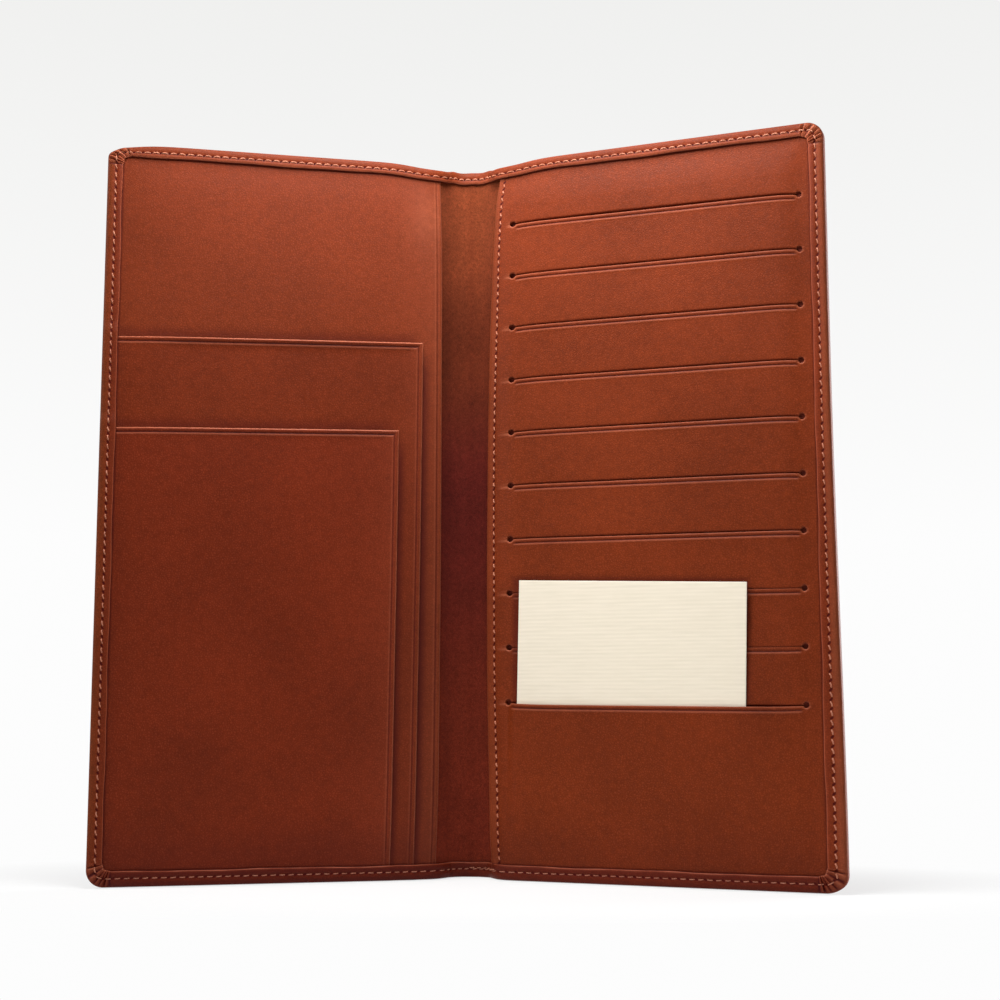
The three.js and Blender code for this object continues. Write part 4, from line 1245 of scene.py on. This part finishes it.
# %% The whole slot panel
def slot_panel():
    """The whole sheet: bands from the top down, joined beside the slits."""
    slits = [HIGHEST_SLOT - SLOT_PITCH * i for i in range(SLOT_COUNT)]
    gapes = [None, 0.27, 0.18, 0.17, 0.17, 0.16, 0.16, 0.15, 0.07, 0.06, 0.17, None]
    rises = [0, *np.interp(range(SLOT_COUNT), [0, 3, 6, 9], [0.5, 0.45, 0.2, -0.4]), 0]
    edges = [FULL_TOP, *slits, SHEET_INSET]
    tables, gutters, faces, start = [], [], [], 0
    for i, (top, bottom) in enumerate(zip(edges, edges[1:])):
        table, lines, from_gutter = band(
            top, bottom, gapes[i], gapes[i + 1], rises[i], rises[i + 1], i == SLOT_COUNT,
        )
        faces += [[k + start for k in reversed(face)] for face in grid_faces(lines, len(slot_columns))]
        tables.append(table)
        gutters.append(from_gutter)
        start += len(table)
    points = np.vstack(tables)
    kept, faces = merged(points, faces)
    front = points[kept]
    from_gutter = np.concatenate(gutters)[kept]
    turned = SLOT_THICKNESS + 0.7 * (1 - smooth(from_gutter, 3.6, 4.4))
    rounding = 0.7 * np.clip(1 - from_gutter / 0.7, 0, 1) ** 2
    back = clear_of_card(behind(front, turned - rounding), front)
    points, faces = thickened(front, back, faces)
    return piece("card_slot_panel", points, faces, 1, slot_calf)


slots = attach(slot_panel(), "right_leaf")
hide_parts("slot_panel")

# %% [markdown]
# ## Card pockets
# Behind each slit hangs a cloth wall that holds the card. The ten walls lie on each other like
# roof tiles. Little of them shows, but a dark woven cloth inside each slit is what gives it depth.

# %% Cloth walls
POCKET_LEAN = math.radians(1)
CLOTH_WIDTH, CLOTH_LENGTH = 93.8, 48.5
CLOTH_THICKNESS = 0.15
CLOTH_MIDDLE = (SLOT_START + SLOT_END) / 2
for index in range(SLOT_COUNT):
    node = f"card_pocket_{index + 1:02d}"
    top = HIGHEST_SLOT - SLOT_PITCH * index + 2
    reach = np.linspace(-CLOTH_WIDTH / 2, CLOTH_WIDTH / 2, 24)
    across, fall = np.meshgrid(CLOTH_MIDDLE + reach, np.linspace(0, CLOTH_LENGTH, 14))
    sag = 0.02 * np.sin(across / 6 + index) * np.sin(fall / 9)
    v = top - fall * math.cos(POCKET_LEAN)
    inner_face = SLOT_FRONT - SLOT_THICKNESS - 0.1
    d = pinched(across, v, inner_face - fall * math.sin(POCKET_LEAN)) - 0.1 + sag
    front = points_of(across, v, d)
    points, faces = thickened(front, behind(front, CLOTH_THICKNESS), grid_faces(*across.shape))
    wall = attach(piece(f"pocket_cloth_{index + 1:02d}", points, faces, 1, cloth), "right_leaf")
    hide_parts(node)

# %% [markdown]
# ## The card
# A blank cream card stands in the lowest slot. It is a stiff sheet that leans out through the
# slit, stands a little askew and curls forward by a tenth of a millimetre at its top. Its cut
# edges are softened by one narrow bevel.

# %% Insert card
CARD_THICKNESS = 0.3
CARD_REST = 0.1
CARD_CURL = 0.1
rim = np.array([0, 0.06, 0.25, 0.8])


def rimmed(length, count):
    """Grid lines across the card, close together at both rims, from its middle."""
    return np.concatenate([rim, np.linspace(2, length - 2, count), length - rim[::-1]]) - length / 2


x, y = np.meshgrid(rimmed(CARD_WIDTH, 20), rimmed(CARD_HEIGHT, 24))
to_rim = np.minimum(CARD_WIDTH / 2 - np.abs(x), CARD_HEIGHT / 2 - np.abs(y))
face_depth = -0.08 * np.clip(1 - to_rim / 0.1, 0, 1)
turned_x = x * math.cos(CARD_TILT) + y * math.sin(CARD_TILT)
turned_y = y * math.cos(CARD_TILT) - x * math.sin(CARD_TILT)
askew = CARD_WIDTH / 2 * math.sin(CARD_TILT) + CARD_HEIGHT / 2 * math.cos(CARD_TILT)
card_v = POCKET_FLOOR + CARD_REST + askew * math.cos(CARD_LEAN)
card_d = card_front(card_v)
curl = CARD_CURL * (y / CARD_HEIGHT + 0.5) ** 3
front = points_of(CARD_LEFT + CARD_WIDTH / 2 + turned_x, card_v + turned_y * math.cos(CARD_LEAN),
                  card_d + turned_y * math.sin(CARD_LEAN) + face_depth + curl)
back = behind(front, CARD_THICKNESS + 2 * face_depth.ravel())
points, faces = thickened(front, back, grid_faces(*x.shape))
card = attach(piece("blank_card", points, faces, 1, paper), "card")
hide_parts("insert_card")

# %% [markdown]
# ## Stitches
# A stitch is a short length of waxed thread that dives into a hole at both ends. Pulled tight, it
# bows towards the wallet's edge, so a row looks like small arches. All stitches of a seam are one
# mesh. The thread also shows outside, where the same holes come out. At the foot of the spine,
# where the seam ends, it is sewn over once more.

# %% One stitch, and a row of them
STATIONS = np.linspace(-1, 1, 9)
AROUND = np.linspace(0, 2 * math.pi, 8, endpoint=False)


def stitch(middle, along, depth, out, shape, number):
    """Points of one stitch: rings along an arch that dives at its ends."""
    bow, length, slant, radius, soil_and_shade = shape
    turn = slant + math.radians(4) * math.sin(number * 2.4)
    t = np.array([along[0] * math.cos(turn) - along[1] * math.sin(turn),
                  along[0] * math.sin(turn) + along[1] * math.cos(turn)])
    n = np.array([-t[1], t[0]])
    tables = []
    for station in STATIONS:
        size = radius * (1 - 0.4 * station ** 6) * (1 + 0.06 * math.sin(number * 1.7))
        lift = 0.1 - 0.34 * station ** 4
        offset = bow * (0.6 - station ** 2) + size * np.cos(AROUND)
        s = middle[0] + t[0] * station * length / 2 + n[0] * offset
        v = middle[1] + t[1] * station * length / 2 + n[1] * offset
        d = depth + out * (lift + size * 0.75 * np.sin(AROUND))
        tables.append(points_of(s, v, d, dark_mark_and_shade=soil_and_shade, along=station * length / 2, inset=AROUND))
    return np.vstack(tables)


def stitch_faces(start):
    """Faces of one stitch whose points begin at an index."""
    count = len(AROUND)
    faces = []
    for j in range(len(STATIONS) - 1):
        for i in range(count):
            a, b = start + j * count + i, start + j * count + (i + 1) % count
            faces.append([a, b, b + count, a + count])
    last = start + (len(STATIONS) - 1) * count
    return faces + [list(range(start, start + count))[::-1], list(range(last, last + count))]


def seam(name, side, places, body=None):
    """A row of stitches; places gives the middle, direction, depth, outward sign and shape of each."""
    tables = [stitch(*at, number) for number, at in enumerate(places)]
    size = len(STATIONS) * len(AROUND)
    faces = [face for number in range(len(tables)) for face in stitch_faces(number * size)]
    made = piece(name, np.vstack(tables), faces, side, thread)
    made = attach(made, body) if body else bends(made)
    return made


print("points in a stitch:", len(STATIONS) * len(AROUND))

# %% Edge seams, inside and outside
# Bow, length, slant, radius and darkening of a stitch on each edge; the darkening is soil, and on
# the bottom edge's stitches also painted shade.
TOP_STITCH = (0.36, 2.2, 0.0, 0.2, 0.0)
SIDE_STITCH = (0.14, 1.75, 0.26, 0.19, 0.1)
LOW_STITCH = (0.06, 1.8, 0.06, 0.14, 0.4)
OUTER_STITCH = (0.0, 2.2, 0.0, 0.2, 0.1)
BACK_STITCH = (0.05, 1.7, 0.12, 0.15, 0.25)
BACKSTITCHED = 13.0
THREAD_SEAT, GUTTER_SEAT = 0.08, 0.12
seam_s, seam_v = at_inset(SEAM_INSET, 1)


def stitch_shape(ahead, side):
    """The shape of a stitch on the top, side or bottom edge, or between two of them at a corner."""
    across, down = ahead[0] ** 2, ahead[1] ** 2
    level = TOP_STITCH if ahead[0] > 0 else LOW_STITCH
    bow, length, slant, radius, soil_and_shade = (across * a + down * b for a, b in zip(level, SIDE_STITCH))
    return bow, length, side * slant, radius, soil_and_shade


def edge_places(hem_front, out, side):
    """Where the stitches of one half of the edge seam lie, halfway between the needle holes."""
    found = []
    for number in range(int(seam_length / STITCH_PITCH)):
        stops = (number + np.array([0.1, 0.5, 0.9])) * STITCH_PITCH
        s, v = (np.interp(stops, path[:, 4], place) for place in (seam_s, seam_v))
        ahead = np.array([s[2] - s[0], v[2] - v[0]])
        ahead /= np.linalg.norm(ahead)
        depth = hem_front(s[1], v[1]) - THREAD_SEAT if out > 0 else THREAD_SEAT
        shape = stitch_shape(ahead, side) if out > 0 else OUTER_STITCH
        found.append(((s[1], v[1]), ahead, depth, out, shape))
        if out > 0 and side > 0 and ahead[0] < -0.9 and s[1] < BACKSTITCHED:
            found.append(((s[1] - 0.9, v[1] + 0.35), ahead, depth + 0.1, out, BACK_STITCH))
    return found


left_seam = seam("left_edge_stitches", -1, edge_places(left_hem_front, 1, -1))
right_seam = seam("right_edge_stitches", 1, edge_places(right_hem_front, 1, 1))
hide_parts("left_edge_seam", "spine_top_seam", "spine_bottom_seam")
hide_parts("right_edge_seam")
seam("left_outer_stitches", -1, edge_places(left_hem_front, -1, -1))
seam("right_outer_stitches", 1, edge_places(right_hem_front, -1, 1))

# %% Gutter seam
GUTTER_STITCH = (0.08, 1.4, 0.26, 0.2, 0.0)
gutter = []
for number in range(int(HEIGHT / GUTTER_PITCH)):
    v = (number + 0.5) * GUTTER_PITCH
    if HEM_WIDTH + 0.8 < v < HEIGHT - HEM_WIDTH - 0.8:
        s, _ = as_sewn(SLOT_EDGE + GUTTER_INSET + seam_shift(v), v)
        gutter.append(((s, v), (0, 1), pinched(s, v, SLOT_FRONT) - GUTTER_SEAT, 1, GUTTER_STITCH))
gutter_stitches = seam("gutter_stitches", 1, gutter, "right_leaf")
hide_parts("gutter_seam")
print("stitches in the gutter:", len(gutter))

# %% [markdown]
# ## Boards
# Two thin boards between cover and lining keep the leaves flat. They are drawn like any other
# sheet, so at the sunken corner of the left leaf they sink with the cover and stay inside it.

# %% Stiffeners
BOARD_MARGIN, LAYER_GAP, BOARD_THICKNESS = 0.5, 0.05, 0.4
BOARD_START = LEAF_START + BOARD_MARGIN
BOARD_FRONT = LINING_FRONT - LINING_THICKNESS - LAYER_GAP
for side, word in ((-1, "left"), (1, "right")):
    s, v = np.meshgrid(np.linspace(BOARD_START, OUTER, 30), np.linspace(SHEET_INSET, FULL_TOP, 60))
    front = points_of(*tucked(s, v, SHEET_INSET), BOARD_FRONT)
    points, faces = thickened(front, behind(front, BOARD_THICKNESS), grid_faces(*s.shape))
    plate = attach(piece(f"{word}_board", points, faces, side, board), leaf_bodies[side])
    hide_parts(f"{word}_stiffener")

# %% [markdown]
# ## Floor, light and camera
# The wallet stands on a plain white floor. A soft lamp close above it makes its upper part brighter
# than its foot, and two lamps further off fill in from the left and from behind. The floor fades
# into the white surroundings with the distance, which hides the horizon and keeps the soft shadow
# close to the wallet. Only the camera, reflections and clear surfaces see that white: the diffuse
# light on the leather comes from the lamps and a weaker sky.

# %% White floor
def sees_white(tree):
    """1 for rays from the camera, off shiny surfaces and through clear ones, else 0."""
    ray = add(tree, "ShaderNodeLightPath").outputs
    shiny_or_clear = calculate(tree, "ADD", ray["Is Glossy Ray"], ray["Is Transmission Ray"])
    return calculate(tree, "MINIMUM", calculate(tree, "ADD", ray["Is Camera Ray"], shiny_or_clear), 1.0)


WHITE = (0.98, 0.98, 0.98, 1)
FLOOR_GREY = (0.86, 0.86, 0.86, 1)
FLOOR_RADIUS, FLOOR_GAP = 12.0, 0.0002
FADE_SHAPE = (1.0, 2.4, 1.0)
FADE_START, FADE_END, LEAST_FADE = 0.1, 0.2, 0.66
floor_finish, tree, shader = new_material("white_floor", Roughness=0.9, Specular_IOR_Level=0.1)
shader.inputs["Base Color"].default_value = FLOOR_GREY
spot = add(tree, "ShaderNodeTexCoord").outputs["Object"]
drawn_out = add(tree, "ShaderNodeVectorMath", {0: spot, 1: FADE_SHAPE}, operation="MULTIPLY").outputs[0]
away = add(tree, "ShaderNodeVectorMath", {0: drawn_out}, operation="LENGTH").outputs["Value"]
fade = ranged(tree, away, FADE_START, FADE_END, LEAST_FADE, 1.0)
seen = sees_white(tree)
glow = add(tree, "ShaderNodeEmission", {"Color": WHITE, "Strength": 1.0})
blended = add(tree, "ShaderNodeMixShader", {0: calculate(tree, "MULTIPLY", fade, seen)})
tree.links.new(shader.outputs[0], blended.inputs[1])
tree.links.new(glow.outputs[0], blended.inputs[2])
tree.links.new(blended.outputs[0], tree.nodes["Material Output"].inputs["Surface"])
disc = bmesh.new()
bmesh.ops.create_circle(disc, cap_ends=True, segments=96, radius=FLOOR_RADIUS)
floor_mesh = bpy.data.meshes.new("floor")
disc.to_mesh(floor_mesh)
disc.free()
floor_mesh.materials.append(floor_finish)
floor = bpy.data.objects.new("floor", floor_mesh)
floor.location.z = -FLOOR_GAP
bpy.context.scene.collection.objects.link(floor)
print("floor radius in m:", FLOOR_RADIUS)

# %% World and lamps
SKY = 0.2
UPPER_GREY = (0.87, 0.87, 0.86, 1)
LAMP_AIM = Vector((0, 0, 0.13))
world = bpy.data.worlds.new("white_room")
bpy.context.scene.world = world
world.use_nodes = True
tree = world.node_tree
seen = sees_white(tree)
background = tree.nodes["Background"]
looked_at = add(tree, "ShaderNodeTexCoord").outputs["Generated"]
height = add(tree, "ShaderNodeSeparateXYZ", {0: looked_at}).outputs["Z"]
room_colour = mixed(tree, ranged(tree, height, 0.1, 0.42), WHITE, UPPER_GREY)
tree.links.new(room_colour, background.inputs["Color"])
tree.links.new(calculate(tree, "MULTIPLY_ADD", seen, 1.0 - SKY, SKY), background.inputs["Strength"])


def soft_lamp(name, place, watts, size):
    """A square lamp that faces the wallet."""
    data = bpy.data.lights.new(name, "AREA")
    data.energy = watts
    data.size = size
    made = bpy.data.objects.new(name, data)
    made.location = place
    made.rotation_euler = (LAMP_AIM - Vector(place)).to_track_quat("-Z", "Y").to_euler()
    bpy.context.scene.collection.objects.link(made)
    print(f"{name}: {watts} W")


soft_lamp("top_lamp", (0.0, -0.085, 0.33), 0.905, 0.12)
soft_lamp("side_lamp", (-0.75, -0.27, 0.58), 5.0, 0.4)
soft_lamp("back_lamp", (0.7, 0.4, 0.16), 9.0, 0.5)

# %% Camera
VIEW = Vector((-0.07896, 0.98874, 0.12713))
UP = Vector((0.01093, -0.12666, 0.99189))
EYE = Vector((0.04829, SPINE_BACK * MM - 0.494, 0.05158))
camera_data = bpy.data.cameras.new("camera")
camera_data.sensor_width = 36.0
camera_data.lens = 57.6
camera_data.clip_start = 0.01
camera = bpy.data.objects.new("camera", camera_data)
right = VIEW.cross(UP).normalized()
upright = right.cross(VIEW).normalized()
facing = Matrix((right, upright, -VIEW.normalized())).transposed().to_4x4()
camera.matrix_world = Matrix.Translation(EYE) @ facing
bpy.context.scene.collection.objects.link(camera)
bpy.context.scene.camera = camera
bpy.context.scene.view_settings.view_transform = "Standard"
print("lens in mm:", camera_data.lens)
